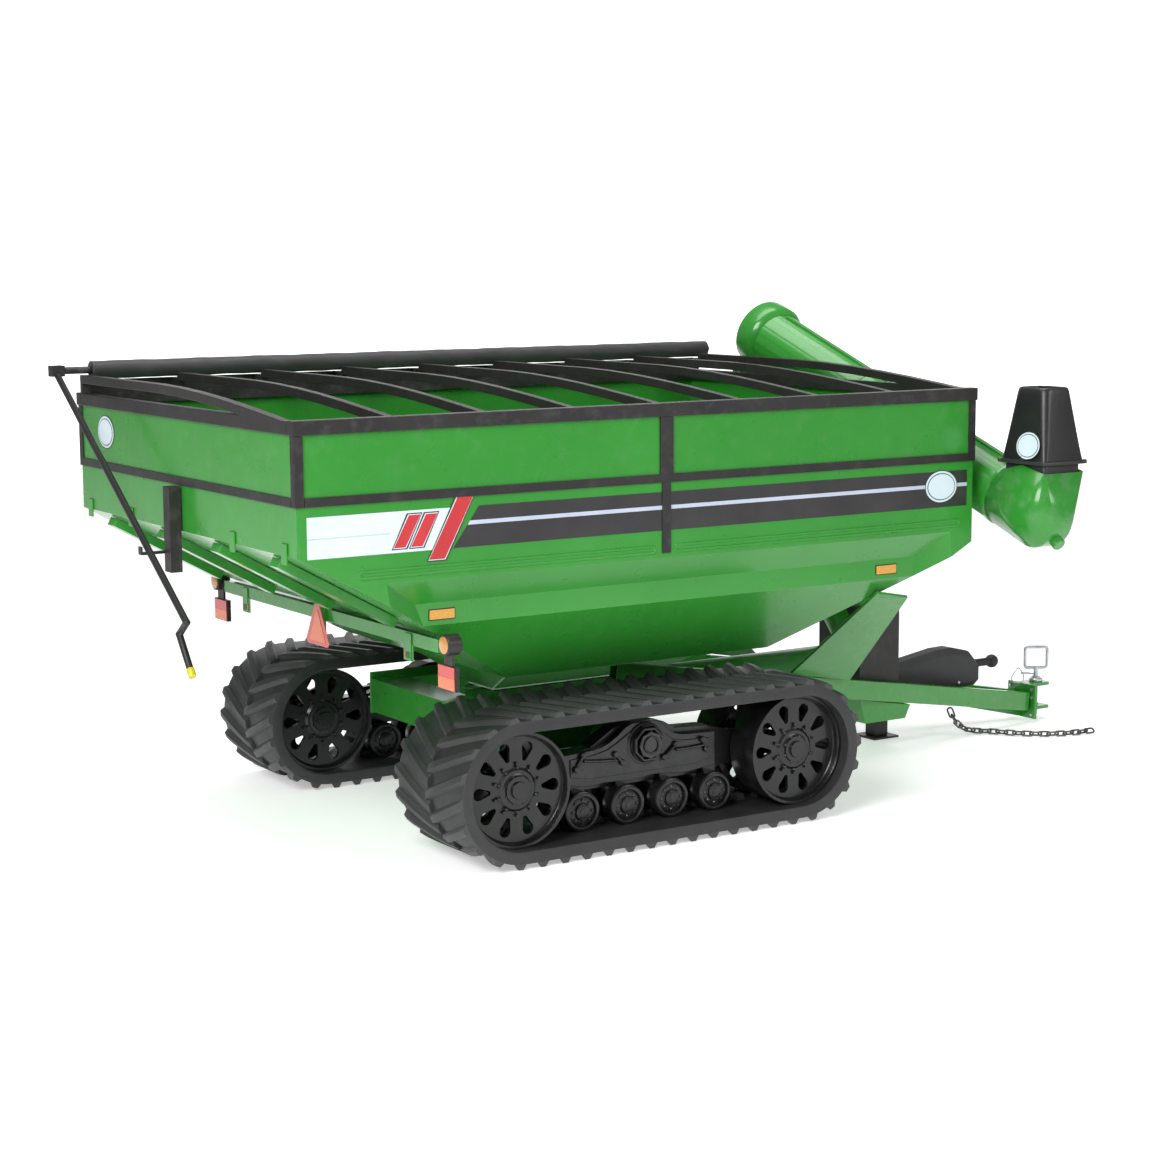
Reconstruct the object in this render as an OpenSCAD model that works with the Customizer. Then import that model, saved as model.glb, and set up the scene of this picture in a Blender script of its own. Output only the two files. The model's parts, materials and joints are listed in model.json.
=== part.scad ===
// Tracked grain cart: a hopper tank on a two-track undercarriage, with a
// folding corner auger at the front and a clevis hitch. Millimetres, +Z up,
// +X towards the hitch, origin under the middle of the whole machine on the
// ground plane. The working frame (x = 0 at the rear wall, y = 0 on the
// centre line) is shifted to that origin once, in place().

/* [Tank] */
// Length of the tank at the rim
tank_len = 6245; // [6200:5:6300]
// Width of the tank at the rim
tank_w = 4100; // [4080:5:4120]
// Height of the underside of the top rail
rim_z = 3346; // [3320:2:3370]
// Thickness of the tank sheets
sheet_t = 4; // [3:1:5]
// Number of cross bars over the tank mouth
bar_count = 7; // [3:1:7]
// Depth of the top rail
rail_h = 103; // [90:1:110]

/* [Tracks] */
// Distance between the two wheels of one track
wheel_base = 2625; // [2600:5:2650]
// Outside radius over the tread lugs
track_r = 590; // [590:1:590]
// Width of the rubber belt
belt_w = 1003; // [980:1:1010]
// Number of tread lugs around one belt
lug_count = 44; // [24:2:48]
// Number of openings in a wheel disc
wheel_holes = 10; // [6:1:10]
// Radius of the mid rollers
roller_r = 155; // [140:1:155]

/* [Auger] */
// Outside diameter of the unloading auger tube
tube_d = 540; // [520:2:544]
// Wall of the auger tubes
tube_wall = 8; // [6:1:10]
// Diameter of the auger screw
screw_d = 470; // [440:2:480]
// Angle of the working auger above level
auger_deg = 49; // [49:1:49]

/* [Hitch] */
// Diameter of the hitch pin
pin_d = 50; // [40:1:50]
// Bore of the clevis plates
clevis_bore = 54; // [54:1:58]
// Length of the safety chain, in links
chain_links = 40; // [10:1:40]

/* [Hidden] */

green = [0.16, 0.52, 0.16];
dark = [0.13, 0.13, 0.13];
rubber = [0.16, 0.16, 0.17];
steel = [0.62, 0.64, 0.66];

L = tank_len;
W = tank_w / 2;
T = sheet_t;
Z1 = rim_z;
Z2 = rim_z + rail_h;
zfold = 2255;      // bottom of the upright wall
zband = 2058;      // top of the side band
zhop = 1892;       // bottom of the side band
zfloor = 1320;     // bottom of the hopper slopes
zrw = 2484;        // bottom of the rear wall
zfw = 2160;        // bottom of the front wall
xr = 2102;         // rear edge of the hopper floor
xf = 4640;         // front edge of the hopper floor
yb = W - 140;      // side band
yh = 1360;         // hopper floor half width
sr = (zrw - zfloor) / xr;
sf = (zfw - zfloor) / (L - xf);
function rearx(z) = (zrw - z) / sr;
function frontx(z) = L - (zfw - z) / sf;

// pivot and tubes of the unloading auger, in the plane x = AX
AX = 6650;
FU = 200.13;                       // heading of the folded upper tube
FL = auger_deg;                    // heading of the lower tube
hinge_off = 330;
PY = 1513.6;
PZ = 3490;
UL = 4100;                         // upper tube, joint face to spout centre
LL = 2830;                         // lower tube, foot to joint face
EY = PY + hinge_off * sin(FL);
EZ = PZ - hinge_off * cos(FL);
UY = PY - hinge_off * cos(FU + 90);
UZ = PZ - hinge_off * sin(FU + 90);
SY = UY + UL * cos(FU);
SZ = UZ + UL * sin(FU);
fl_r = 318;                        // joint flange radius

// tracks
XT = 3120;                         // middle of the track
XW = [XT - wheel_base / 2, XT + wheel_base / 2];
ZW = track_r;
TY0 = 1123;                        // inner edge of the belt
TY1 = TY0 + belt_w;
belt_in = 450;
belt_out = 550;
wheel_r = 448;
ZP = 753;                          // track pivot height
PR = 85;                           // spindle radius
RX = [for (i = [0:3]) XT - 630 + 420 * i];
RZ = ZW - belt_in + roller_r + 2;

// tarp crank
TX = -250;
TYR = 1930;                        // tarp roll axis
TZR = 3640;
CH = 214.3;                        // heading of the crank tube

// place of the origin: middle of the overall box, on the ground
X0 = TX - 50;
X1 = 9045;
Y0 = SY - 280;
Y1 = 2130;
OX = (X0 + X1) / 2;
OY = (Y0 + Y1) / 2;

module place() { translate([-OX, -OY, 0]) children(); }
module both() { children(); mirror([0, 1, 0]) children(); }
module box(a, b) { translate(a) cube(b - a); }
// cylinder along a named axis, from a to b along it
module xc(a, b, y, z, r) { translate([a, y, z]) rotate([0, 90, 0]) cylinder(r = r, h = b - a, $fn = 64); }
module yc(a, b, x, z, r) { translate([x, b, z]) rotate([90, 0, 0]) cylinder(r = r, h = b - a, $fn = 64); }
module zc(a, b, x, y, r) { translate([x, y, a]) cylinder(r = r, h = b - a, $fn = 64); }
// a frame whose +Z runs along heading h in the upright plane x = AX
module along(y, z, h, x = AX) { translate([x, y, z]) rotate([h - 90, 0, 0]) children(); }

function unit(v) = v / norm(v);
function pn(p) = unit(cross(p[1] - p[0], p[2] - p[0]));
// polygon in space drawn in by d on every edge
function inset(p, d) = let (n = pn(p), k = len(p)) [for (i = [0:k - 1])
  let (a = unit(p[(i + 1) % k] - p[i]), b = unit(p[(i + k - 1) % k] - p[i]),
       s = cross(a, b) * n) p[i] + (a + b) * d / (abs(s) < 0.02 ? 1 : s)];
// flat plate of thickness t on the side the outline runs counter-clockwise
module slab(p, t) {
  k = len(p);
  n = pn(p);
  polyhedron(points = concat(p, [for (q = p) q + n * t]),
    faces = concat([[for (i = [0:k - 1]) i]], [[for (i = [k - 1:-1:0]) k + i]],
      [for (i = [0:k - 1]) [i, k + i, k + (i + 1) % k, (i + 1) % k]]));
}
module sheet(p) { slab(inset(p, T + 0.5), T); }
// straight bar of width w and depth h between two points
module bar(a, b, w, h) {
  d = b - a;
  translate(a) rotate([0, 0, atan2(d[1], d[0])]) rotate([0, -atan2(d[2], norm([d[0], d[1]])), 0])
    translate([0, -w / 2, -h / 2]) cube([norm(d), w, h]);
}
// ---------------------------------------------------------------- tank
module side_walls() color(green) both() right_wall();
// the wall is an upright sheet; its inner face is at y = -W + T
module right_wall() {
  translate([0, -W + T, 0]) rotate([90, 0, 0]) linear_extrude(T)
    polygon([[T + 1, Z1 - 1], [L - T - 1, Z1 - 1], [L - T - 1, zfw + 4], [6036, zfw - (L - 6036) * sf + 5],
             [6016, zfold + 1], [694, zfold + 1], [724, zrw - 724 * sr + 6], [T + 1, zrw + 3]]);
}
module end_walls() color(green) {
  box([0, -W, zrw + 3], [T, W, Z1 - 1]);
  box([L - T, -W, zfw + 3], [L, W, Z1 - 1]);
}
module end_slopes() color(green) {
  sheet([[0, -W, zrw], [0, W, zrw], [730, W, zrw - 730 * sr], [rearx(zhop), yb, zhop], [xr, yh, zfloor],
         [xr, -yh, zfloor], [rearx(zhop), -yb, zhop], [730, -W, zrw - 730 * sr]]);
  sheet([[L, W, zfw], [L, -W, zfw], [6030, -W, zfw - (L - 6030) * sf], [frontx(zhop), -yb, zhop], [xf, -yh, zfloor],
         [xf, yh, zfloor], [frontx(zhop), yb, zhop], [6030, W, zfw - (L - 6030) * sf]]);
}
// folded-in shoulder above the band, the band itself and its two end facets
module band_right() {
  sheet([[700, -W, zfold], [1000, -yb, zband], [5745, -yb, zband], [6010, -W, zfold]]);
  translate([0, -yb + T, 0]) rotate([90, 0, 0]) linear_extrude(T)
    polygon([[1014, zband - 3], [rearx(zhop) + 12, zhop + 3], [5722, zhop + 3], [5728, zband - 3]]);
  tri3([700, -W, zfold], [730, -W, zrw - 730 * sr], [rearx(zhop), -yb, zhop], [1000, -yb, zband]);
  tri3([5745, -yb, zband], [frontx(zhop), -yb, zhop], [6030, -W, zfw - (L - 6030) * sf], [6010, -W, zfold]);
}
// four-cornered facet that need not be flat, drawn in by scaling about its middle
module tri3(a, b, c, d) {
  m = (a + b + c + d) / 4;
  k = 0.91;
  p = [for (q = [a, b, c, d]) m + (q - m) * k];
  n = [0, T, 0];
  polyhedron(points = concat(p, [for (q = p) q + n]),
    faces = [[0, 2, 1], [0, 3, 2], [4, 5, 6], [4, 6, 7], [0, 1, 5], [0, 5, 4], [1, 2, 6], [1, 6, 5],
             [2, 3, 7], [2, 7, 6], [3, 0, 4], [3, 4, 7]]);
}
module side_bands() color(green) both() band_right();
module hopper_sides() color(green) both()
  sheet([[rearx(zhop), -yb, zhop], [xr, -yh, zfloor], [xf, -yh, zfloor], [frontx(zhop), -yb, zhop]]);

// flat ledge over the belts, then four sheets down to the trough
module hopper_floor() color(green) {
  both() box([xr + 4, -yh + 4, zfloor - T], [xf - 4, -1052, zfloor - 0.5]);
  both() sheet([[2352, -1050, zfloor], [2640, -226, 1002], [4300, -226, 1002], [4398, -1050, zfloor]]);
  sheet([[2350, 1046, zfloor], [2640, 222, 1002], [2640, -222, 1002], [2350, -1046, zfloor]]);
  sheet([[4400, -1046, zfloor], [4302, -222, 1002], [4302, 222, 1002], [4400, 1046, zfloor]]);
  box([xr + 4, -1046, zfloor - T], [2346, 1046, zfloor - 0.5]);
  box([4404, -1046, zfloor - T], [xf - 4, 1046, zfloor - 0.5]);
}
ZA = 808;          // axis of the floor auger
// U trough under the gate, then a round tube forward to the boot
module auger_trough() color(green) {
  both() box([2640, -226, 640], [4302, -222, 976]);
  difference() {
    box([2634, -226, 640], [2638, 226, 976]);
    xc(2630, 2642, 0, ZA, 30.06);
  }
  difference() {
    box([4304, -226, 640], [4308, 226, 976]);
    xc(4290, 4320, 0, ZA, 168);
  }
  both() box([2640, -221, 636], [4302, -182, 640 - 0.5]);
  difference() {
    xc(4309, 6438, 0, ZA, 175);
    xc(4300, 6450, 0, ZA, 169);
  }
}
// pressed channels on the rear slope and tabs under the rear wall
module slope_channels() color(green) {
  for (y = [-1560, -520, 520, 1560]) {
    a = [60, y, zrw - 60 * sr - 46];
    b = [1000, y, zrw - 1000 * sr - 46];
    bar(a, b, 150, 70);
  }
  for (y = [-1860, -980, 980, 1860]) box([-14, y - 45, zrw - 60], [-2, y + 45, zrw + 90]);
  bar([5860, -1700, frontx_z(5860) - 46], [6160, -1700, frontx_z(6160) - 46], 150, 70);
  bar([5860, 1700, frontx_z(5860) - 46], [6160, 1700, frontx_z(6160) - 46], 150, 70);
}
function frontx_z(x) = zfw - (L - x) * sf;
// black posts and mid rails laid on the outside of the walls
module wall_frame() color(dark) {
  zm0 = 2841;
  zm1 = 2906;
  both() {
    box([60, -W - 14, zm0], [L - 60, -W - 1, zm1]);
    box([-12, -W - 14, zm0], [56, -W - 1, Z1 - 1]);
    box([L - 56, -W - 14, zm0], [L + 12, -W - 1, Z1 - 1]);
    box([3070, -W - 16, zm1 + 1], [3190, -W - 1, Z1 - 1]);
    box([3090, -W - 10, zfold + 40], [3170, -W - 1, zm0 - 1]);
    box([-12, -W, zm0], [-1, -W + 56, Z1 - 1]);
    box([L + 1, -W, zm0], [L + 12, -W + 56, Z1 - 1]);
  }
  box([-14, -W + 58, zm0], [-1, W - 58, zm1]);
  box([L + 1, -W + 58, zm0], [L + 14, W - 58, zm1]);
}
// side rails and the two arched end rails
module rim_rails() color(dark) {
  both() box([-24, -W - 24, Z1], [L + 24, -W + 76, Z2]);
  box([60, 1980, Z2 - 1], [6240, 1992, 3555]);
  for (e = [[-24, 56, 1972, bowz(1)], [L - 56, L + 24, 1850, 3552]]) {
    box([e[0], -W + 78, Z1], [e[1], W - 78, Z2 - 4]);
    box([e[0], 1930, Z2 - 5], [e[1], 1972, 3530]);
    bow(e[0], e[1], e[2], e[3]);
  }
}
// height of the top of a bow, t = 0 at the right rail and 1 at the left one
function bowz(t) = Z2 - 15 + 165 * sin(90 * min(1, t / 0.62));
// arched bar with its left end at height ze from y = ye outwards, under the roll
module bow(x0, x1, ye, ze, d = 70) {
  n = 10;
  ys = [for (k = [0:n]) -1972 + (1832 + 1972) * k / n];
  top = concat([for (y = ys) [y, bowz((y + 1972) / 3944)]], [[ye, ze], [1972, ze]]);
  translate([x0, 0, 0]) rotate([90, 0, 90]) linear_extrude(x1 - x0)
    polygon(concat([for (q = top) q], [for (k = [len(top) - 1:-1:0]) [top[k][0], top[k][1] - d]]));
}
// arched square bars from rail to rail
module cross_bars() color(dark)
  for (i = [0:bar_count - 1]) translate([790 + 775 * i, 0, 0]) bow(0, 64, 1850, 3552);

// ---------------------------------------------------------------- tarp
module tarp_roll() color(dark) {
  difference() {
    xc(60, 6330, TYR, TZR, 78);
    xc(50, 6340, TYR, TZR, 30.06);
  }
  xc(-176, 6370, TYR, TZR, 30);
}
// forked yoke at the end of the roll shaft
module crank_yoke() color(dark) {
  box([TX + 12, TYR - 45, TZR - 45], [TX + 68, TYR - 31, TZR + 45]);
  box([TX + 12, TYR + 31, TZR - 45], [TX + 68, TYR + 45, TZR + 45]);
  box([TX - 45, TYR - 45, TZR - 45], [TX + 11.5, TYR + 45, TZR + 45]);
}
CL = 3130;         // yoke to the first bend
C1 = [TYR + CL * cos(CH), TZR + CL * sin(CH)];
C2 = [C1[0] + 180 * cos(323), C1[1] + 180 * sin(323)];
module crank_tube() color(dark) {
  along(TYR, TZR, CH, TX) translate([0, 0, 66]) cylinder(r = 27, h = CL - 66, $fn = 48);
  translate([TX, C1[0], C1[1]]) sphere(r = 29, $fn = 48);
  along(C1[0], C1[1], 323, TX) cylinder(r = 27, h = 180, $fn = 48);
  translate([TX, C2[0], C2[1]]) sphere(r = 29, $fn = 48);
  along(C2[0], C2[1], 232, TX) cylinder(r = 27, h = 300, $fn = 48);
}
module crank_grip() color([0.88, 0.8, 0.1]) along(C2[0], C2[1], 232, TX)
  translate([0, 0, 300.5]) cylinder(r = 31, h = 70, $fn = 48);
// channel on the rear wall with the hook that carries the tube
module crank_holder() color(dark) {
  box([-110, -60, 2170], [-16, 62, 2830]);
  box([-300, 63, 2308], [-16, 123, 2326]);
  box([-300, 63, 2326.5], [-288, 123, 2372]);
}

// ---------------------------------------------------------------- lighting
LBX = 1226;
LBZ = 1750;
module lamp_bar() color(green) {
  box([LBX - 30, -1900, LBZ - 70], [LBX + 30, 1900, LBZ + 30]);
  both() box([LBX - 40, -1500, LBZ - 190], [LBX - 32, -1410, LBZ + 20]);
  box([LBX - 70, -70, LBZ - 210], [LBX - 32, 70, LBZ + 60]);
}
module lamps() color([0.85, 0.5, 0.15]) both() {
  box([LBX - 22, -2110, LBZ - 55], [LBX + 22, -1902, LBZ + 25]);
  xc(LBX - 66, LBX - 24, -2040, LBZ + 10, 78);
  xc(LBX + 24, LBX + 60, -2040, LBZ + 10, 78);
  box([LBX - 14, -2090, LBZ - 150], [LBX + 6, -1960, LBZ - 56]);
  box([LBX - 24, -2130, LBZ - 330], [LBX + 16, -1930, LBZ - 151]);
}
module reflectors() color([0.95, 0.65, 0.1]) both() {
  box([1120, -yb - 7, 1935], [1330, -yb - 0.5, 2005]);
  box([5330, -yb - 7, 1935], [5540, -yb - 0.5, 2005]);
  box([LBX - 48, -1495, LBZ - 180], [LBX - 40.5, -1415, LBZ - 120]);
}
module smv_sign() color([0.95, 0.4, 0.2])
  translate([LBX - 71, 0, 0]) rotate([90, 0, -90]) linear_extrude(5)
    polygon([[-205, 1514], [-175, 1479], [175, 1479], [205, 1514], [30, 1832], [-30, 1832]]);

// ---------------------------------------------------------------- frame
// cross beam behind the trough, side arms, and the track spindles
module axle_beam() color(green) {
  difference() {
    box([2180, -1085, 650], [2480, 1085, 940]);
    box([2192, -1100, 662], [2468, 1100, 928]);
  }
  both() {
    box([2180, -1105, 630], [3320, -1085.5, 990]);
    box([2481, -1085, 650], [3320, -930, 940]);
    box([3200, -1060, 941], [3320, -960, 1088]);
    yc(-1802, -1105, XT, ZP, PR);
    translate([XT, -1802, ZP]) rotate([90, 0, 0]) cylinder(r = 112, h = 58, $fn = 8);
  }
}
// two beams converging on the hitch, with cross members
module tongue_beams() color(green) {
  both() difference() {
    bar([8744, -92, 207], [3322, -1008, 1180], 90, 178);
    bar([8753.6, -90.4, 205.3], [3312.4, -1009.6, 1181.7], 74, 162);
  }
  translate([0, 430, 0]) rotate([90, 0, 0]) linear_extrude(860)
    polygon([[6380, 534], [6990, 422], [6930, 300], [6450, 300]]);
  box([7700, -213, 300], [7750, 213, 380]);
}
module hitch_head() color(green) {
  difference() {
    union() {
      box([8770, -190, 40], [8800, 190, 372]);
      box([8801, -95, 340], [9045, 95, 372]);
      box([8801, -95, 110], [9045, 95, 142]);
    }
    zc(0, 500, 8956, 0, clevis_bore / 2);
  }
  translate([0, 6, 0]) rotate([90, 0, 0]) linear_extrude(12)
    polygon([[8769, 42], [8769, 150], [7900, 268], [7900, 250]]);
}
module hitch_pin() color(steel) {
  zc(45, 374, 8956, 0, pin_d / 2);
  zc(373, 415, 8956, 0, 62);
  zc(414, 500, 8956, 0, 22);
  translate([8956, 0, 0]) rotate([0, 0, -32]) {
    for (q = [-88, 88]) {
      translate([q, 0, 512]) cylinder(r = 12, h = 186, $fn = 32);
      for (z = [512, 698]) translate([q, 0, z]) sphere(r = 14, $fn = 32);
    }
    for (z = [512, 698]) translate([-88, 0, z]) rotate([0, 90, 0]) cylinder(r = 12, h = 176, $fn = 32);
  }
}

// chain route, from the beam down to the ground and along it
CR = [[7600, -270, 300], [7650, -268, 200], [7730, -262, 112], [7840, -262, 56], [7950, -285, 36],
      [8040, -345, 34], [8105, -435, 34], [8180, -540, 34], [8280, -650, 34], [8400, -745, 34],
      [8540, -815, 34], [8700, -850, 34], [8860, -865, 34], [9020, -868, 34]];
function clen(i) = i == 0 ? 0 : clen(i - 1) + norm(CR[i] - CR[i - 1]);
function at(s, i = 1) = (i == len(CR) - 1 || s <= clen(i))
  ? CR[i - 1] + (CR[i] - CR[i - 1]) * (s - clen(i - 1)) / norm(CR[i] - CR[i - 1]) : at(s, i + 1);
link_pitch = 80;
module chain_link() {
  for (s = [-1, 1]) {
    translate([s * 24, 0, 0]) rotate([0, 90, 90]) translate([0, 0, -31]) cylinder(r = 9, h = 62, $fn = 24);
    translate([0, s * 31, 0]) rotate([0, 0, s > 0 ? 0 : 180]) rotate_extrude(angle = 180, $fn = 24)
      translate([24, 0]) circle(r = 9, $fn = 24);
  }
}
module safety_chain() color([0.3, 0.3, 0.32])
  for (i = [0:min(chain_links, 20) - 1]) {
    s = 60 + i * link_pitch;
    a = at(s - 40);
    b = at(s + 40);
    d = b - a;
    translate((a + b) / 2) rotate([0, 0, atan2(d[1], d[0]) - 90]) rotate([asin(d[2] / norm(d)), 0, 0])
      rotate([0, (i % 2) * 90 - 45, 0]) chain_link();
  }

JX = 7110;
JY = 200;
module jack_body() color(dark) {
  difference() {
    box([JX - 85, JY - 85, 340], [JX + 85, JY + 85, 1040]);
    box([JX - 76, JY - 76, 330], [JX + 76, JY + 76, 1031]);
  }
  box([JX - 70, JY + 84, 440], [JX + 70, JY + 109, 560]);
}
module jack_leg() color(dark) {
  difference() {
    box([JX - 74, JY - 74, 20], [JX + 74, JY + 74, 720]);
    box([JX - 64, JY - 64, 30], [JX + 64, JY + 64, 730]);
  }
  box([JX - 150, JY - 150, 0], [JX + 150, JY + 150, 19.9]);
}
// wide flat braces from the shoulder of the tank down to the beams
module tongue_braces() color(green) both()
  slab([[5380, -1860, 1787], [5410, -660, 924], [6070, -660, 800], [5710, -1860, 1725]], 26);
module pto_cover() color(dark) difference() {
  translate([0, 108, 0]) rotate([90, 0, 0]) linear_extrude(258)
    polygon([[7030, 500], [8080, 460], [8080, 690], [7990, 780], [7770, 830], [7030, 730]]);
  translate([0, 102, 0]) rotate([90, 0, 0]) linear_extrude(246)
    polygon([[7020, 440], [8074, 440], [8074, 687], [7987, 774], [7769, 824], [7020, 723]]);
  xc(8060, 8090, 0, 630, 62);
}
module pto_shaft() color(dark) {
  xc(6994, 8340, 0, 630, 38);
  translate([8372, 0, 630]) sphere(r = 64, $fn = 48);
}
module gearbox() color([0.2, 0.2, 0.2]) difference() {
  union() {
    box([6905, -140, 500], [7020, 100, 1000]);
    xc(7019, 7024, 0, 630, 90);
  }
  xc(6900, 6962, 0, ZA, 30.06);
  xc(6990, 7030, 0, 630, 38.06);
}

// ---------------------------------------------------------------- augers
// one flight of a screw as a closed ribbon around its shaft
module screw(len, r, rs, pitch, shaft) {
  translate([0, 0, -shaft[0]]) cylinder(r = rs, h = len + shaft[0] + shaft[1], $fn = 48);
  n = ceil(14 * (len - 60) / pitch);
  th = 7;
  function ring(i) = let (z = 30 + (len - 60) * i / n, a = 360 * (z - 30) / pitch, c = cos(a), d = sin(a), q = rs + 1.5)
    [[q * c, q * d, z - th], [r * c, r * d, z - th], [r * c, r * d, z + th], [q * c, q * d, z + th]];
  polyhedron(points = [for (i = [0:n]) each ring(i)], faces = concat([[3, 2, 1, 0]], [[4 * n, 4 * n + 1, 4 * n + 2, 4 * n + 3]],
    [for (i = [0:n - 1], k = [0:3]) each let (p = 4 * i + k, q = 4 * i + (k + 1) % 4) [[p, q, q + 4], [p, q + 4, p + 4]]]));
}
module floor_auger() color(steel) {
  translate([2660, 0, ZA]) rotate([0, 90, 0]) screw(3770, 160, 30, 330, [32, 520]);
}
module tube_end(s) {
  // joint flange and the two hinge ears, on the far side of z = 0 for s = -1
  difference() {
    translate([0, 0, s > 0 ? 1 : -21]) cylinder(r = fl_r, h = 20, $fn = 96);
    translate([-330, -330, 0]) rotate([0, 90, 0]) cylinder(r = 32, h = 660, $fn = 48);
  }
  for (x = s > 0 ? [-215, 185] : [-250, 220]) translate([x, 0, 0]) rotate([90, 0, 90]) linear_extrude(30)
    union() {
      polygon([[-120, s * 20], [-120, s * 190], [-210, s * 190], [-378, s * 22], [-378, 0], [-282, 0], [-240, s * 20]]);
      translate([-330, 0]) circle(r = 50, $fn = 48);
    }
}
module lower_tube() color(green) {
  along(EY, EZ, FL) difference() {
    union() {
      translate([0, 0, -LL]) cylinder(r = tube_d / 2, h = LL - 20, $fn = 96);
      tube_end(-1);
      // bracket for the foot of the fold cylinder
      box([100, -270, -1204], [290, -150, -1084]);
    }
    translate([0, 0, -LL - 1]) cylinder(r = tube_d / 2 - tube_wall, h = LL + 2, $fn = 96);
    for (x = [-260, 170]) translate([x, -330, 0]) rotate([0, 90, 0]) cylinder(r = 25.06, h = 90, $fn = 64);
  }
  for (z = [2350, 2950]) {
    yy = EY + (z - EZ) * cos(FL) / sin(FL);
    box([L + 16, yy - 60, z - 60], [AX - tube_d / 2 + 4, yy + 60, z + 60]);
  }
  // pin for the foot of the fold cylinder
  xc(6920, 7080, BY, BZ, 25);
}
module lower_flight() color(steel) along(EY, EZ, FL) translate([0, 0, -LL + 20])
  screw(LL - 60, screw_d / 2, 38, 450, [0, 0]);
module auger_boot() color(dark) difference() {
  box([6440, -360, 620], [6900, 240, 1360]);
  box([6448, -352, 628], [6892, 232, 1352]);
  along(EY, EZ, FL) translate([0, 0, -LL - 1]) cylinder(r = tube_d / 2 + 2, h = LL, $fn = 96);
  xc(6430, 6460, 0, ZA, 168);
  xc(6880, 6910, 0, ZA, 34);
  box([6860, -361, 619], [6901, -356, 634]);
}
module upper_tube() color(green) {
  along(UY, UZ, FU) difference() {
    union() {
      cylinder(r = tube_d / 2, h = UL - 422, $fn = 96);
      tube_end(1);
      lug();
    }
    translate([180, -425.2, 263.3]) rotate([0, 90, 0]) cylinder(r = 13, h = 160, $fn = 48);
    translate([0, 0, -1]) cylinder(r = tube_d / 2 - tube_wall, h = UL, $fn = 96);
    for (x = [-230, 170]) translate([x, -330, 0]) rotate([0, 90, 0]) cylinder(r = 25.06, h = 60, $fn = 64);
  }
}
// lug on the upper tube for the fold cylinder's rod
module lug() {
  translate([185, 0, 0]) rotate([90, 0, 90]) linear_extrude(30)
    polygon([[-200, 60], [-330, 30], [-460, 235], [-470, 290], [-400, 300], [-200, 190]]);
  translate([190, -425.2, 263.3]) rotate([0, 90, 0]) cylinder(r = 45, h = 138, $fn = 64);
}
module elbow() color(green) difference() {
  union() {
    translate([AX, SY, SZ]) sphere(r = tube_d / 2, $fn = 96);
    along(SY, SZ, FU) translate([0, 0, -420]) cylinder(r = tube_d / 2, h = 420, $fn = 96);
    zc(SZ, 2740, AX, SY, 262);
    box([AX - 175, SY - 200, 2730], [AX + 175, SY + 200, 2900]);
    along(SY, SZ, FU + 40) translate([0, 0, 255]) cylinder(r = 60, h = 60, $fn = 48);
  }
  translate([AX, SY, SZ]) sphere(r = tube_d / 2 - tube_wall, $fn = 96);
  along(SY, SZ, FU) translate([0, 0, -430]) cylinder(r = tube_d / 2 - tube_wall, h = 430, $fn = 96);
  zc(SZ, 2732, AX, SY, 252);
  box([AX - 167, SY - 192, 2700], [AX + 167, SY + 192, 2910]);
}
module upper_flight() color(steel) along(UY, UZ, FU) translate([0, 0, 30])
  screw(UL - 120, screw_d / 2, 38, 450, [0, 0]);
module frustum(z0, z1, a0, b0, a1, b1) translate([AX, SY, 0]) polyhedron(
  points = [for (q = [[z0, a0, b0], [z1, a1, b1]]) each [[-q[1], -q[2], q[0]], [q[1], -q[2], q[0]], [q[1], q[2], q[0]], [-q[1], q[2], q[0]]]],
  faces = [[0, 1, 2, 3], [7, 6, 5, 4], [0, 4, 5, 1], [1, 5, 6, 2], [2, 6, 7, 3], [3, 7, 4, 0]]);
module spout() color(dark) {
  difference() {
    frustum(2832, 3460, 228, 268, 150, 177);
    frustum(2831, 3461, 220, 260, 142, 169);
  }
  difference() {
    box([AX - 240, SY - 280, 2832], [AX + 240, SY + 280, 2858]);
    box([AX - 221, SY - 261, 2820], [AX + 221, SY + 261, 2870]);
  }
  for (s = [-1, 1]) translate([AX + s * 199, SY, 2880]) rotate([0, 90, 0]) cylinder(r = 16, h = 42, center = true, $fn = 48);
}
// fold cylinder, in the plane x = 7010
CX = 7010;
BA2 = 235;
BY = PY + 1150 * cos(BA2);
BZ = PZ + 1150 * sin(BA2);
RY0 = PY + 280 * cos(220);
RZ0 = PZ + 280 * sin(220);
RH = atan2(RZ0 - BZ, RY0 - BY);
RL = norm([RZ0 - BZ, RY0 - BY]);
module fold_barrel() color(dark) along(BY, BZ, RH, CX) difference() {
  union() {
    translate([0, 0, 40]) cylinder(r = 55, h = 620, $fn = 64);
    rotate([0, 90, 0]) cylinder(r = 48, h = 60, center = true, $fn = 64);
  }
  rotate([0, 90, 0]) cylinder(r = 25.05, h = 80, center = true, $fn = 64);
  translate([0, 0, 80]) cylinder(r = 45, h = 565, $fn = 64);
  translate([0, 0, 600]) cylinder(r = 28.05, h = 80, $fn = 64);
}
module fold_rod() color(steel) along(BY, BZ, RH, CX) {
  translate([0, 0, 84]) cylinder(r = 44.9, h = 14, $fn = 64);
  translate([0, 0, 98]) cylinder(r = 28, h = RL - 98 - 30, $fn = 64);
  difference() {
    translate([0, 0, RL]) rotate([0, 90, 0]) cylinder(r = 42, h = 60, center = true, $fn = 64);
    translate([0, 0, RL]) rotate([0, 90, 0]) cylinder(r = 13, h = 80, center = true, $fn = 64);
  }
}
module hinge_pin() color(steel) xc(6385, 6915, PY, PZ, 25);

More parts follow.
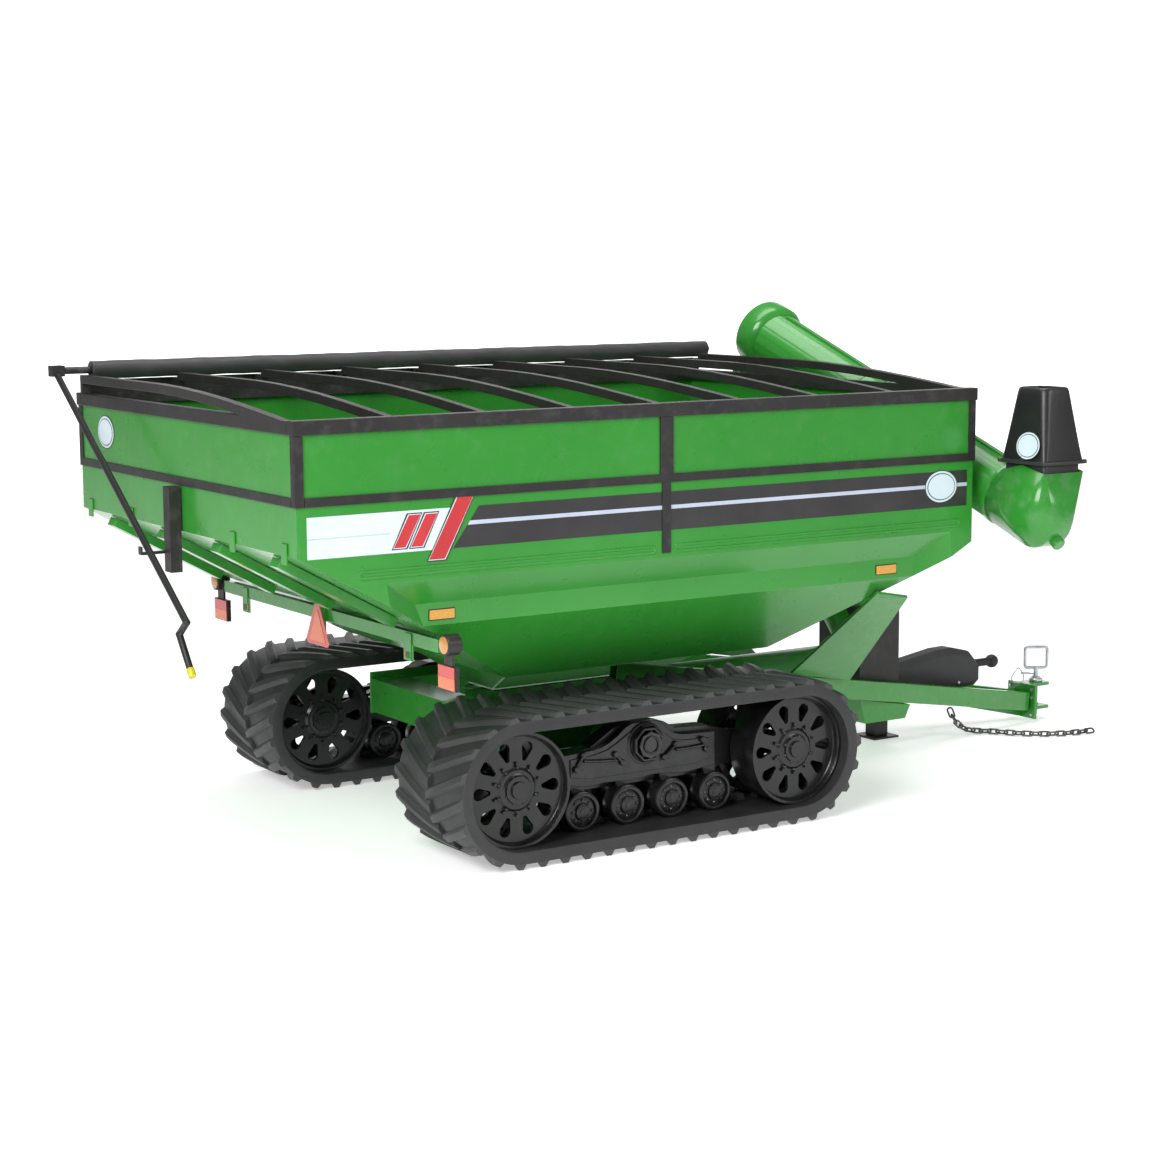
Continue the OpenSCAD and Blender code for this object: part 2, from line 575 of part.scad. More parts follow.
// ---------------------------------------------------------------- gates
module flow_gate() color(steel) {
  box([2646, -214, 982], [4296, 214, 990]);
  box([2500, -40, 982], [2650, 40, 990]);
}
module cleanout_door() color(green) {
  box([2660, -178, 622], [4290, 178, 630]);
  for (x = [2760, 3480, 4180]) xc(x, x + 60, 190, 620, 10);
  for (x = [2760, 3480, 4180]) box([x, 150, 618], [x + 60, 186, 621.9]);
}

// ---------------------------------------------------------------- tracks
module track_frame() color(dark) difference() {
  union() {
    translate([XT, -1550, 0]) rotate([90, 0, 0]) linear_extrude(150) polygon([[-1330, 520], [-1330, 650], [-1100, 690],
      [-760, 700], [-480, 760], [-260, 890], [-100, 925], [100, 925], [230, 890], [330, 830], [640, 815], [1100, 690],
      [1330, 650], [1330, 520], [1100, 490], [760, 470], [690, 430], [690, RZ - 60], [570, RZ - 60], [540, 430],
      [300, 430], [270, RZ - 60], [150, RZ - 60], [120, 430], [-120, 430], [-150, RZ - 60], [-270, RZ - 60],
      [-300, 430], [-540, 430], [-570, RZ - 60], [-690, RZ - 60], [-690, 430], [-760, 470], [-1100, 490]]);
    yc(-1798, -1450, XT, ZP, 150);
    for (x = XW) yc(-1700, -1550, x, ZW, 100);
  }
  yc(-1900, -1400, XT, ZP, PR + 0.05);
  for (x = XW) yc(-1800, -1500, x, ZW, 40.05);
  for (x = RX) yc(-1800, -1500, x, RZ, 25.05);
}
module loop(r) {
  for (x = XW) yc(-TY1, -TY0, x, ZW, r);
  box([XW[0], -TY1, ZW - r], [XW[1], -TY0, ZW + r]);
}
module belt() color(rubber) {
  per = 2 * wheel_base + 2 * PI * belt_out;
  difference() {
    union() {
      loop(belt_out);
      for (i = [0:lug_count - 1]) {
        s = (i + 0.5) * per / lug_count;
        a = PI * belt_out;
        if (s < wheel_base) lug_box([XW[0] + s, ZW + belt_out], 0);
        else if (s < wheel_base + a) { t = (s - wheel_base) / belt_out * 180 / PI;
          lug_box([XW[1] + (belt_out - 1) * sin(t), ZW + (belt_out - 1) * cos(t)], t); }
        else if (s < 2 * wheel_base + a) lug_box([XW[1] - (s - wheel_base - a), ZW - belt_out], 180);
        else { t = 180 + (s - 2 * wheel_base - a) / belt_out * 180 / PI;
          lug_box([XW[0] + (belt_out - 1) * sin(t), ZW + (belt_out - 1) * cos(t)], t); }
      }
    }
    loop_in();
  }
}
module loop_in() {
  for (x = XW) yc(-TY1 - 5, -TY0 + 5, x, ZW, belt_in);
  box([XW[0], -TY1 - 5, ZW - belt_in], [XW[1], -TY0 + 5, ZW + belt_in]);
}
module lug_box(p, t) translate([p[0], 0, p[1]]) rotate([0, t, 0])
  translate([-32, -TY1 + 4, -12]) cube([64, belt_w - 8, 12 + track_r - belt_out]);
// teardrop opening, pointing at the hub
function tear(r0, r1, w) = concat([for (k = [0:10]) let (a = -100 + 20 * k) [r1 - w + w * cos(a), w * sin(a)]], [[r0, 14], [r0, -14]]);
module wheel(x) color(dark) translate([x, 0, ZW]) rotate([90, 0, 0]) {
  for (m = [0, 1]) translate([0, 0, 1625]) mirror([0, 0, m]) translate([0, 0, -1625]) difference() {
    rotate_extrude($fn = 96) polygon([[0, 1760], [90, 1760], [90, 1940], [400, 1940], [400, 1722], [wheel_r, 1722],
      [wheel_r, 2030], [425, 2030], [405, 1975], [170, 1975], [150, 1990], [110, 1990], [105, 2015], [70, 2015], [65, 2035], [0, 2035]]);
    for (i = [0:wheel_holes - 1]) rotate([0, 0, 360 / wheel_holes * i]) translate([0, 0, 1900]) linear_extrude(120)
      polygon(tear(225, 375, 48));
  }
  translate([0, 0, 1480]) cylinder(r = 40, h = 290, $fn = 64);
  for (m = [0, 1]) translate([0, 0, 1625]) mirror([0, 0, m]) translate([0, 0, -1625])
    for (i = [0:9]) rotate([0, 0, 36 * i + 18]) translate([200, 0, 1975.1]) cylinder(r = 14, h = 22, $fn = 6);
}
module roller(i) color(dark) translate([RX[i], 0, RZ]) rotate([90, 0, 0]) {
  for (m = [0, 1]) translate([0, 0, 1625]) mirror([0, 0, m]) translate([0, 0, -1625])
    rotate_extrude($fn = 64) polygon([[0, 1712], [roller_r, 1712], [roller_r, 1835], [125, 1840], [118, 1815], [70, 1815],
      [60, 1845], [0, 1845]]);
  translate([0, 0, 1538]) cylinder(r = 25, h = 174, $fn = 48);
}
module left() mirror([0, 1, 0]) children();

place() side_walls();
place() end_walls();
place() end_slopes();
place() side_bands();
place() hopper_sides();
place() hopper_floor();
place() auger_trough();
place() slope_channels();
place() wall_frame();
place() rim_rails();
place() cross_bars();
place() tarp_roll();
place() crank_yoke();
place() crank_tube();
place() crank_grip();
place() crank_holder();
place() lamp_bar();
place() lamps();
place() reflectors();
place() smv_sign();
place() axle_beam();
place() tongue_beams();
place() hitch_head();
place() hitch_pin();
place() safety_chain();
place() jack_body();
place() jack_leg();
place() tongue_braces();
place() pto_cover();
place() pto_shaft();
place() gearbox();
place() floor_auger();
place() lower_tube();
place() lower_flight();
place() auger_boot();
place() upper_tube();
place() elbow();
place() upper_flight();
place() spout();
place() fold_barrel();
place() fold_rod();
place() hinge_pin();
place() flow_gate();
place() cleanout_door();
place() track_frame();  // track_frame_right
place() left() track_frame();  // track_frame_left
place() belt();  // belt_right
place() left() belt();  // belt_left
place() wheel(XW[0]);  // wheel_right_rear
place() wheel(XW[1]);  // wheel_right_front
place() left() wheel(XW[0]);  // wheel_left_rear
place() left() wheel(XW[1]);  // wheel_left_front
place() roller(0);  // roller_right_1
place() roller(1);  // roller_right_2
place() roller(2);  // roller_right_3
place() roller(3);  // roller_right_4
place() left() roller(0);  // roller_left_1
place() left() roller(1);  // roller_left_2
place() left() roller(2);  // roller_left_3
place() left() roller(3);  // roller_left_4
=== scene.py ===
import json
import math
import random

import bmesh
import bpy
from mathutils import Matrix, Vector


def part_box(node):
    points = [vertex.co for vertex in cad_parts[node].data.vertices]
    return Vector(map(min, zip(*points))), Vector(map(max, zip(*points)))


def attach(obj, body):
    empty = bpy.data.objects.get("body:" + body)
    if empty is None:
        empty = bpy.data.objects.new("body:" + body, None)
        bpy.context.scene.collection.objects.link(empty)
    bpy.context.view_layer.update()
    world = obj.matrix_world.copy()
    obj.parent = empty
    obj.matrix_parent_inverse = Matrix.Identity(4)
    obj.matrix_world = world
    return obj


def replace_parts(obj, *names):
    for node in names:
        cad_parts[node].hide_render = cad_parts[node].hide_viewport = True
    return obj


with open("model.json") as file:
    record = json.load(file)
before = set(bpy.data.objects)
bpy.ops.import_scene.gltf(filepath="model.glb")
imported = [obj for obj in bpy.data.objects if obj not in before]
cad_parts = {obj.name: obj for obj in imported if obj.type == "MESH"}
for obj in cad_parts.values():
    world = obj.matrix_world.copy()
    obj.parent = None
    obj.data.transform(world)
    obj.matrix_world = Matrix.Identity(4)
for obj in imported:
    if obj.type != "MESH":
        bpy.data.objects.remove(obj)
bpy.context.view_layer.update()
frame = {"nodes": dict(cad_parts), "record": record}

random.seed(7)
NODES = frame["nodes"]
BODY = {n: b for b, ns in frame["record"]["behaviour"]["bodies"].items() for n in ns}
lo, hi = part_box("end_walls")
OX = -lo.x * 1000
OY = -(lo.y + hi.y) * 500
D = math.pi / 180


def P(x, y, z):
    """A point of the working frame in millimetres, as a row-frame point in metres."""
    return Vector(((x - OX) / 1000, (y - OY) / 1000, z / 1000))


# ------------------------------------------------------------------ materials
def ramp(nt, src, stops, x=0):
    r = nt.nodes.new("ShaderNodeValToRGB")
    els = r.color_ramp.elements
    while len(els) < len(stops):
        els.new(0.5)
    for e, (p, c) in zip(els, stops):
        e.position = p
        e.color = (*c, 1) if len(c) == 3 else c
    nt.links.new(src, r.inputs[0])
    return r.outputs[0]


def noise(nt, scale, detail=4, rough=0.55, stretch=(1, 1, 1)):
    tc = nt.nodes.new("ShaderNodeTexCoord")
    mp = nt.nodes.new("ShaderNodeMapping")
    mp.inputs["Scale"].default_value = stretch
    nt.links.new(tc.outputs["Object"], mp.inputs[0])
    n = nt.nodes.new("ShaderNodeTexNoise")
    n.inputs["Scale"].default_value = scale
    n.inputs["Detail"].default_value = detail
    n.inputs["Roughness"].default_value = rough
    nt.links.new(mp.outputs[0], n.inputs["Vector"])
    return n.outputs["Fac"]


def mathn(nt, op, a, b=None, c=None, clamp=False):
    m = nt.nodes.new("ShaderNodeMath")
    m.operation = op
    m.use_clamp = clamp
    for i, v in enumerate((a, b, c)):
        if v is None:
            continue
        if hasattr(v, "is_linked") or hasattr(v, "links"):
            nt.links.new(v, m.inputs[i])
        else:
            m.inputs[i].default_value = v
    return m.outputs[0]


def mixc(nt, fac, a, b):
    m = nt.nodes.new("ShaderNodeMix")
    m.data_type = "RGBA"
    nt.links.new(fac, m.inputs[0])
    for i, v in ((6, a), (7, b)):
        if hasattr(v, "links"):
            nt.links.new(v, m.inputs[i])
        else:
            m.inputs[i].default_value = (*v, 1)
    return m.outputs[2]


def bump(nt, h, strength, dist, normal=None):
    b = nt.nodes.new("ShaderNodeBump")
    b.inputs["Strength"].default_value = strength
    b.inputs["Distance"].default_value = dist
    nt.links.new(h, b.inputs["Height"])
    if normal is not None:
        nt.links.new(normal, b.inputs["Normal"])
    return b.outputs[0]


def base_mat(name):
    m = bpy.data.materials.new(name)
    m.use_nodes = True
    nt = m.node_tree
    return m, nt, nt.nodes["Principled BSDF"]


def paint(name, dark, light, rough=(0.22, 0.34), coat=0.6, edge_wear_sheen_color=(0.35, 0.36, 0.34), edge_wear_sheen_amt=0.25, dust=0.05, peel=0.0006):
    """Sprayed paint: cloudy tone, fine peel, faint dust, and convex edges lightened towards grey in patches, partly
    rubbed paint and partly a painted highlight.
    """
    m, nt, p = base_mat(name)
    big = noise(nt, 0.9, 3)
    fine = noise(nt, 9, 6, 0.6)
    col = mixc(nt, ramp(nt, big, [(0.35, (0, 0, 0)), (0.65, (1, 1, 1))]), dark, light)
    # convex edges (pointiness, masked to noisy patches) lightened towards grey: partly rubbed-off paint, partly a
    # painted highlight along the edges
    geo = nt.nodes.new("ShaderNodeNewGeometry")
    edge = ramp(nt, geo.outputs["Pointiness"], [(0.52, (0, 0, 0)), (0.60, (1, 1, 1))])
    chips = ramp(nt, fine, [(0.50, (0, 0, 0)), (0.68, (1, 1, 1))])
    edge_wear_and_sheen = mathn(nt, "MULTIPLY", mathn(nt, "MULTIPLY", edge, chips), edge_wear_sheen_amt)
    col = mixc(nt, edge_wear_and_sheen, col, edge_wear_sheen_color)
    film = mathn(nt, "MULTIPLY", ramp(nt, noise(nt, 2.6, 5, 0.65), [(0.45, (0, 0, 0)), (0.85, (1, 1, 1))]), dust)
    col = mixc(nt, film, col, (0.32, 0.30, 0.26))
    nt.links.new(col, p.inputs["Base Color"])
    mr = nt.nodes.new("ShaderNodeMapRange")
    mr.inputs[3].default_value, mr.inputs[4].default_value = rough
    nt.links.new(noise(nt, 5, 5), mr.inputs[0])
    nt.links.new(mr.outputs[0], p.inputs["Roughness"])
    p.inputs["Coat Weight"].default_value = coat
    p.inputs["Coat Roughness"].default_value = 0.12
    p.inputs["Specular IOR Level"].default_value = 0.36
    nt.links.new(bump(nt, noise(nt, 45, 2), 0.2, peel * 0.6), p.inputs["Normal"])
    return m


def rubber(name, base, light, rough=(0.5, 0.72)):
    m, nt, p = base_mat(name)
    col = mixc(nt, ramp(nt, noise(nt, 3.0, 6, 0.65), [(0.3, (0, 0, 0)), (0.72, (1, 1, 1))]), base, light)
    # painted sheen: sharp convex edges (pointiness) are lightened towards grey, a painted highlight along the lug edges
    geo = nt.nodes.new("ShaderNodeNewGeometry")
    edge = ramp(nt, geo.outputs["Pointiness"], [(0.53, (0, 0, 0)), (0.62, (1, 1, 1))])
    col = mixc(nt, mathn(nt, "MULTIPLY", edge, 0.35), col, (0.09, 0.09, 0.092))
    nt.links.new(col, p.inputs["Base Color"])
    mr = nt.nodes.new("ShaderNodeMapRange")
    mr.inputs[3].default_value, mr.inputs[4].default_value = rough
    nt.links.new(noise(nt, 7, 4), mr.inputs[0])
    nt.links.new(mr.outputs[0], p.inputs["Roughness"])
    b1 = bump(nt, noise(nt, 40, 5, 0.7), 0.4, 0.002)
    nt.links.new(bump(nt, noise(nt, 220, 3), 0.35, 0.0008, b1), p.inputs["Normal"])
    return m


def metal(name, base, light, rough=(0.25, 0.45), metallic=0.9, stretch=(1, 1, 1)):
    m, nt, p = base_mat(name)
    col = mixc(nt, ramp(nt, noise(nt, 12, 6, 0.65, stretch), [(0.3, (0, 0, 0)), (0.75, (1, 1, 1))]), base, light)
    nt.links.new(col, p.inputs["Base Color"])
    p.inputs["Metallic"].default_value = metallic
    mr = nt.nodes.new("ShaderNodeMapRange")
    mr.inputs[3].default_value, mr.inputs[4].default_value = rough
    nt.links.new(noise(nt, 25, 5, 0.6, stretch), mr.inputs[0])
    nt.links.new(mr.outputs[0], p.inputs["Roughness"])
    nt.links.new(bump(nt, noise(nt, 120, 4, 0.6, stretch), 0.3, 0.001), p.inputs["Normal"])
    return m


def plastic(name, base, light, rough=(0.45, 0.6), grain=0.0009, coat=0.0):
    m, nt, p = base_mat(name)
    col = mixc(nt, ramp(nt, noise(nt, 2.2, 4), [(0.35, (0, 0, 0)), (0.7, (1, 1, 1))]), base, light)
    nt.links.new(col, p.inputs["Base Color"])
    mr = nt.nodes.new("ShaderNodeMapRange")
    mr.inputs[3].default_value, mr.inputs[4].default_value = rough
    nt.links.new(noise(nt, 9, 4), mr.inputs[0])
    nt.links.new(mr.outputs[0], p.inputs["Roughness"])
    p.inputs["Coat Weight"].default_value = coat
    nt.links.new(bump(nt, noise(nt, 260, 3), 0.4, grain), p.inputs["Normal"])
    return m


def lens(name, base, light):
    """Moulded reflector: small prisms under a clear skin."""
    m, nt, p = base_mat(name)
    tc = nt.nodes.new("ShaderNodeTexCoord")
    v = nt.nodes.new("ShaderNodeTexVoronoi")
    v.inputs["Scale"].default_value = 90
    nt.links.new(tc.outputs["Object"], v.inputs["Vector"])
    col = mixc(nt, ramp(nt, v.outputs["Distance"], [(0.1, (0, 0, 0)), (0.6, (1, 1, 1))]), light, base)
    nt.links.new(col, p.inputs["Base Color"])
    p.inputs["Roughness"].default_value = 0.25
    p.inputs["Coat Weight"].default_value = 0.8
    nt.links.new(bump(nt, v.outputs["Distance"], 0.25, 0.002), p.inputs["Normal"])
    return m


M = {}
M["green"] = paint("green_paint_gloss", (0.024, 0.235, 0.022), (0.029, 0.262, 0.027), rough=(0.24, 0.33), coat=0.45, edge_wear_sheen_amt=0.15, dust=0.03, peel=0.0004)
M["green_in"] = paint("green_paint_inside", (0.020, 0.20, 0.02), (0.028, 0.25, 0.028), rough=(0.3, 0.5), coat=0.3)
M["black"] = paint("black_paint_satin", (0.016, 0.0145, 0.0145), (0.022, 0.020, 0.020), rough=(0.4, 0.52), coat=0.05,
                   edge_wear_sheen_color=(0.16, 0.16, 0.16), dust=0.03)
M["wheel"] = paint("black_paint_gloss", (0.004, 0.004, 0.005), (0.008, 0.008, 0.009), rough=(0.24, 0.38), coat=0.25,
                   edge_wear_sheen_color=(0.12, 0.12, 0.12), dust=0.03)
M["rubber"] = rubber("track_rubber", (0.014, 0.014, 0.015), (0.026, 0.026, 0.028), rough=(0.42, 0.6))
M["spout"] = rubber("spout_rubber", (0.010, 0.010, 0.011), (0.017, 0.017, 0.018), rough=(0.28, 0.42))
M["cover"] = plastic("charcoal_plastic", (0.030, 0.029, 0.031), (0.042, 0.041, 0.044), rough=(0.55, 0.7))
M["zinc"] = metal("zinc_plate", (0.42, 0.43, 0.45), (0.66, 0.67, 0.70))
M["steel"] = metal("worn_steel", (0.30, 0.30, 0.31), (0.55, 0.55, 0.56), rough=(0.3, 0.5), stretch=(1, 1, 4))
M["chain"] = metal("dark_chain", (0.07, 0.068, 0.066), (0.20, 0.19, 0.185), rough=(0.35, 0.55))
M["cast"] = metal("cast_gearbox", (0.03, 0.03, 0.03), (0.06, 0.06, 0.06), rough=(0.5, 0.7), metallic=0.2)
M["yellow"] = plastic("yellow_cap", (0.62, 0.52, 0.02), (0.75, 0.64, 0.04), rough=(0.3, 0.45), coat=0.3)
M["amber"] = lens("amber_lens", (0.60, 0.28, 0.025), (0.72, 0.38, 0.05))
M["amber_lamp"] = lens("amber_lamp", (0.52, 0.22, 0.04), (0.68, 0.33, 0.08))
M["red"] = lens("red_reflector", (0.55, 0.022, 0.012), (0.66, 0.045, 0.025))
M["orange"] = lens("orange_reflector", (0.74, 0.115, 0.016), (0.82, 0.165, 0.028))
M["sign_red"] = lens("sign_border", (0.58, 0.03, 0.012), (0.66, 0.05, 0.02))
M["dec_white"] = plastic("decal_white", (0.60, 0.72, 0.78), (0.68, 0.78, 0.84), rough=(0.28, 0.4), grain=0.0002, coat=0.4)
M["dec_black"] = plastic("decal_black", (0.020, 0.018, 0.020), (0.032, 0.030, 0.032), rough=(0.28, 0.4), grain=0.0002, coat=0.4)
M["dec_grey"] = plastic("decal_grey", (0.46, 0.52, 0.64), (0.54, 0.60, 0.72), rough=(0.28, 0.4), grain=0.0002, coat=0.4)
M["dec_red"] = plastic("decal_red", (0.45, 0.02, 0.025), (0.56, 0.03, 0.035), rough=(0.28, 0.4), grain=0.0002, coat=0.4)


def axle_mat():
    """Green beam whose two turned ends are painted black."""
    m = M["green"].copy()
    m.name = "axle_paint"
    nt = m.node_tree
    p = next(n for n in nt.nodes if n.type == "BSDF_PRINCIPLED")
    col = p.inputs["Base Color"].links[0].from_socket
    tc = nt.nodes.new("ShaderNodeTexCoord")
    sx = nt.nodes.new("ShaderNodeSeparateXYZ")
    nt.links.new(tc.outputs["Object"], sx.inputs[0])
    y = mathn(nt, "ABSOLUTE", mathn(nt, "ADD", sx.outputs["Y"], OY / 1000))
    nt.links.new(mixc(nt, mathn(nt, "GREATER_THAN", y, 1.60), col, (0.006, 0.006, 0.007)), p.inputs["Base Color"])
    return m


M["axle"] = axle_mat()


def tarp_mat():
    m, nt, p = base_mat("tarp_fabric")
    tc = nt.nodes.new("ShaderNodeTexCoord")
    w1 = nt.nodes.new("ShaderNodeTexWave")
    w1.inputs["Scale"].default_value = 150
    w1.bands_direction = "X"
    w2 = nt.nodes.new("ShaderNodeTexWave")
    w2.inputs["Scale"].default_value = 150
    w2.bands_direction = "Z"
    for w in (w1, w2):
        nt.links.new(tc.outputs["Object"], w.inputs["Vector"])
    weave = mathn(nt, "MAXIMUM", w1.outputs["Fac"], w2.outputs["Fac"])
    col = mixc(nt, ramp(nt, noise(nt, 3, 5, 0.6, (0.4, 1, 1)), [(0.35, (0, 0, 0)), (0.7, (1, 1, 1))]), (0.018, 0.018, 0.019), (0.032, 0.031, 0.032))
    nt.links.new(col, p.inputs["Base Color"])
    p.inputs["Roughness"].default_value = 0.55
    p.inputs["Sheen Weight"].default_value = 0.15
    nt.links.new(bump(nt, weave, 0.35, 0.001, bump(nt, noise(nt, 6, 4, 0.6, (0.3, 1, 1)), 0.5, 0.01)), p.inputs["Normal"])
    return m


M["tarp"] = tarp_mat()


# ------------------------------------------------------------------ mesh tools
def new_obj(name, bm, mat, body, bevel=0.0, seg=2, angle=30, smooth=True, recalc=True):
    if recalc:
        bmesh.ops.recalc_face_normals(bm, faces=bm.faces)
    me = bpy.data.meshes.new(name)
    bm.to_mesh(me)
    bm.free()
    o = bpy.data.objects.new(name, me)
    bpy.context.scene.collection.objects.link(o)
    mats = mat if isinstance(mat, (list, tuple)) else [mat]
    for k in mats:
        me.materials.append(M[k])
    if smooth:
        for f in me.polygons:
            f.use_smooth = True
    if bevel:
        b = o.modifiers.new("edge", "BEVEL")
        b.width = bevel
        b.segments = seg
        b.limit_method = "ANGLE"
        b.angle_limit = angle * D
        b.harden_normals = True
        b.use_clamp_overlap = True
    elif smooth:
        me.set_sharp_from_angle(angle=angle * D)
    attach(o, body)
    return o


def add_box(bm, a, b, rot=None, about=None, mi=0):
    """Box between two working-frame corners in millimetres."""
    vs = []
    for x in (a[0], b[0]):
        for y in (a[1], b[1]):
            for z in (a[2], b[2]):
                vs.append(bm.verts.new(P(x, y, z)))
    q = [(0, 1, 3, 2), (4, 6, 7, 5), (0, 4, 5, 1), (2, 3, 7, 6), (0, 2, 6, 4), (1, 5, 7, 3)]
    for f in q:
        face = bm.faces.new([vs[i] for i in f])
        face.material_index = mi
    if rot is not None:
        bmesh.ops.transform(bm, matrix=Matrix.Translation(about) @ rot @ Matrix.Translation(-about), verts=vs)
    return vs


def add_poly_prism(bm, pts, thick, mi=0):
    """Prism from a list of row-frame points (Vector) and an offset Vector."""
    a = [bm.verts.new(p) for p in pts]
    b = [bm.verts.new(p + thick) for p in pts]
    n = len(pts)
    fs = [bm.faces.new(a), bm.faces.new(b[::-1])]
    for i in range(n):
        fs.append(bm.faces.new((a[i], b[i], b[(i + 1) % n], a[(i + 1) % n])))
    for f in fs:
        f.material_index = mi
    return fs


def basis(axis):
    axis = Vector(axis).normalized()
    t = Vector((0, 0, 1)) if abs(axis.z) < 0.9 else Vector((1, 0, 0))
    u = axis.cross(t).normalized()
    return axis, u, axis.cross(u).normalized()


def add_lathe(bm, origin, axis, profile, seg=48, mi=0, closed=False, phase=0.0):
    """Surface of revolution. profile: (radius_mm, distance_mm along axis). Ends on the axis are capped."""
    ax, u, v = basis(axis)
    rings = []
    for r, h in profile:
        c = origin + ax * (h / 1000)
        if r < 1e-6:
            rings.append([bm.verts.new(c)])
        else:
            rings.append([bm.verts.new(c + (u * math.cos(t) + v * math.sin(t)) * (r / 1000))
                          for t in [phase + 2 * math.pi * i / seg for i in range(seg)]])
    pairs = list(zip(rings, rings[1:]))
    if closed:
        pairs.append((rings[-1], rings[0]))
    for a, b in pairs:
        for i in range(seg):
            j = (i + 1) % seg
            if len(a) == 1 and len(b) == 1:
                continue
            if len(a) == 1:
                f = bm.faces.new((a[0], b[j], b[i]))
            elif len(b) == 1:
                f = bm.faces.new((a[i], a[j], b[0]))
            else:
                f = bm.faces.new((a[i], a[j], b[j], b[i]))
            f.material_index = mi
    return rings


def add_tube(bm, pts, r, seg=16, mi=0, closed=False):
    """Round tube along row-frame points."""
    n = len(pts)
    rings = []
    prev = None
    for i, p in enumerate(pts):
        if closed:
            d = (pts[(i + 1) % n] - pts[i - 1]).normalized()
        else:
            d = (pts[min(i + 1, n - 1)] - pts[max(i - 1, 0)]).normalized()
        if prev is None:
            _, u, v = basis(d)
        else:
            u = (prev - d * prev.dot(d)).normalized()
            v = d.cross(u)
        prev = u
        rings.append([bm.verts.new(p + (u * math.cos(t) + v * math.sin(t)) * (r / 1000))
                      for t in [2 * math.pi * k / seg for k in range(seg)]])
    m = n if closed else n - 1
    for i in range(m):
        a, b = rings[i], rings[(i + 1) % n]
        for k in range(seg):
            f = bm.faces.new((a[k], a[(k + 1) % seg], b[(k + 1) % seg], b[k]))
            f.material_index = mi
    if not closed:
        bm.faces.new(rings[0][::-1]).material_index = mi
        bm.faces.new(rings[-1]).material_index = mi


# ------------------------------------------------------------------ CAD nodes: finishes
SLOT = {s["node"]: s["material_slot"] for s in frame["record"]["subparts"]}
FIN = {"green_paint": "green", "black_paint": "black", "track_rubber": "rubber", "tarp_fabric": "tarp", "spout_rubber": "spout",
       "black_plastic": "cover", "yellow_cap": "yellow", "amber_lens": "amber", "orange_sign": "sign_red", "zinc_steel": "zinc",
       "worn_steel": "steel", "dark_chain": "chain", "cast_gearbox": "cast"}
for n, o in NODES.items():
    key = FIN.get(SLOT.get(n), "black")
    if n.startswith(("wheel", "roller", "track_frame")):
        key = "wheel"
    if n == "axle_beam":
        key = "axle"
    if n in ("auger_trough", "hopper_floor"):
        key = "green_in"
    o.data.materials.clear()
    o.data.materials.append(M[key])
    if n.startswith(("floor_auger", "lower_flight", "upper_flight", "safety_chain")):
        continue
    w = o.modifiers.new("weld", "WELD")
    w.merge_threshold = 0.00002
    b = o.modifiers.new("edge", "BEVEL")
    b.width = 0.004 if n not in ("rim_rails", "tongue_beams", "axle_beam") else 0.008
    if n in ("hitch_head", "crank_holder", "crank_yoke", "wall_frame", "lamp_bar", "cleanout_door", "hopper_floor", "auger_trough"):
        b.width = 0.0018
    b.segments = 2
    b.limit_method = "ANGLE"
    b.angle_limit = 50 * D
    b.harden_normals = True

# ------------------------------------------------------------------ tank shell
L, W, Z1, Z2 = 6245.0, 2050.0, 3346.0, 3449.0
zfold, zband, zhop, zfloor, zrw, zfw = 2255.0, 2058.0, 1892.0, 1320.0, 2484.0, 2160.0
xr, xf, yb, yh = 2102.0, 4640.0, 1910.0, 1360.0
sr = (zrw - zfloor) / xr
sf = (zfw - zfloor) / (L - xf)
rearx = lambda z: (zrw - z) / sr
frontx = lambda z: L - (zfw - z) / sf


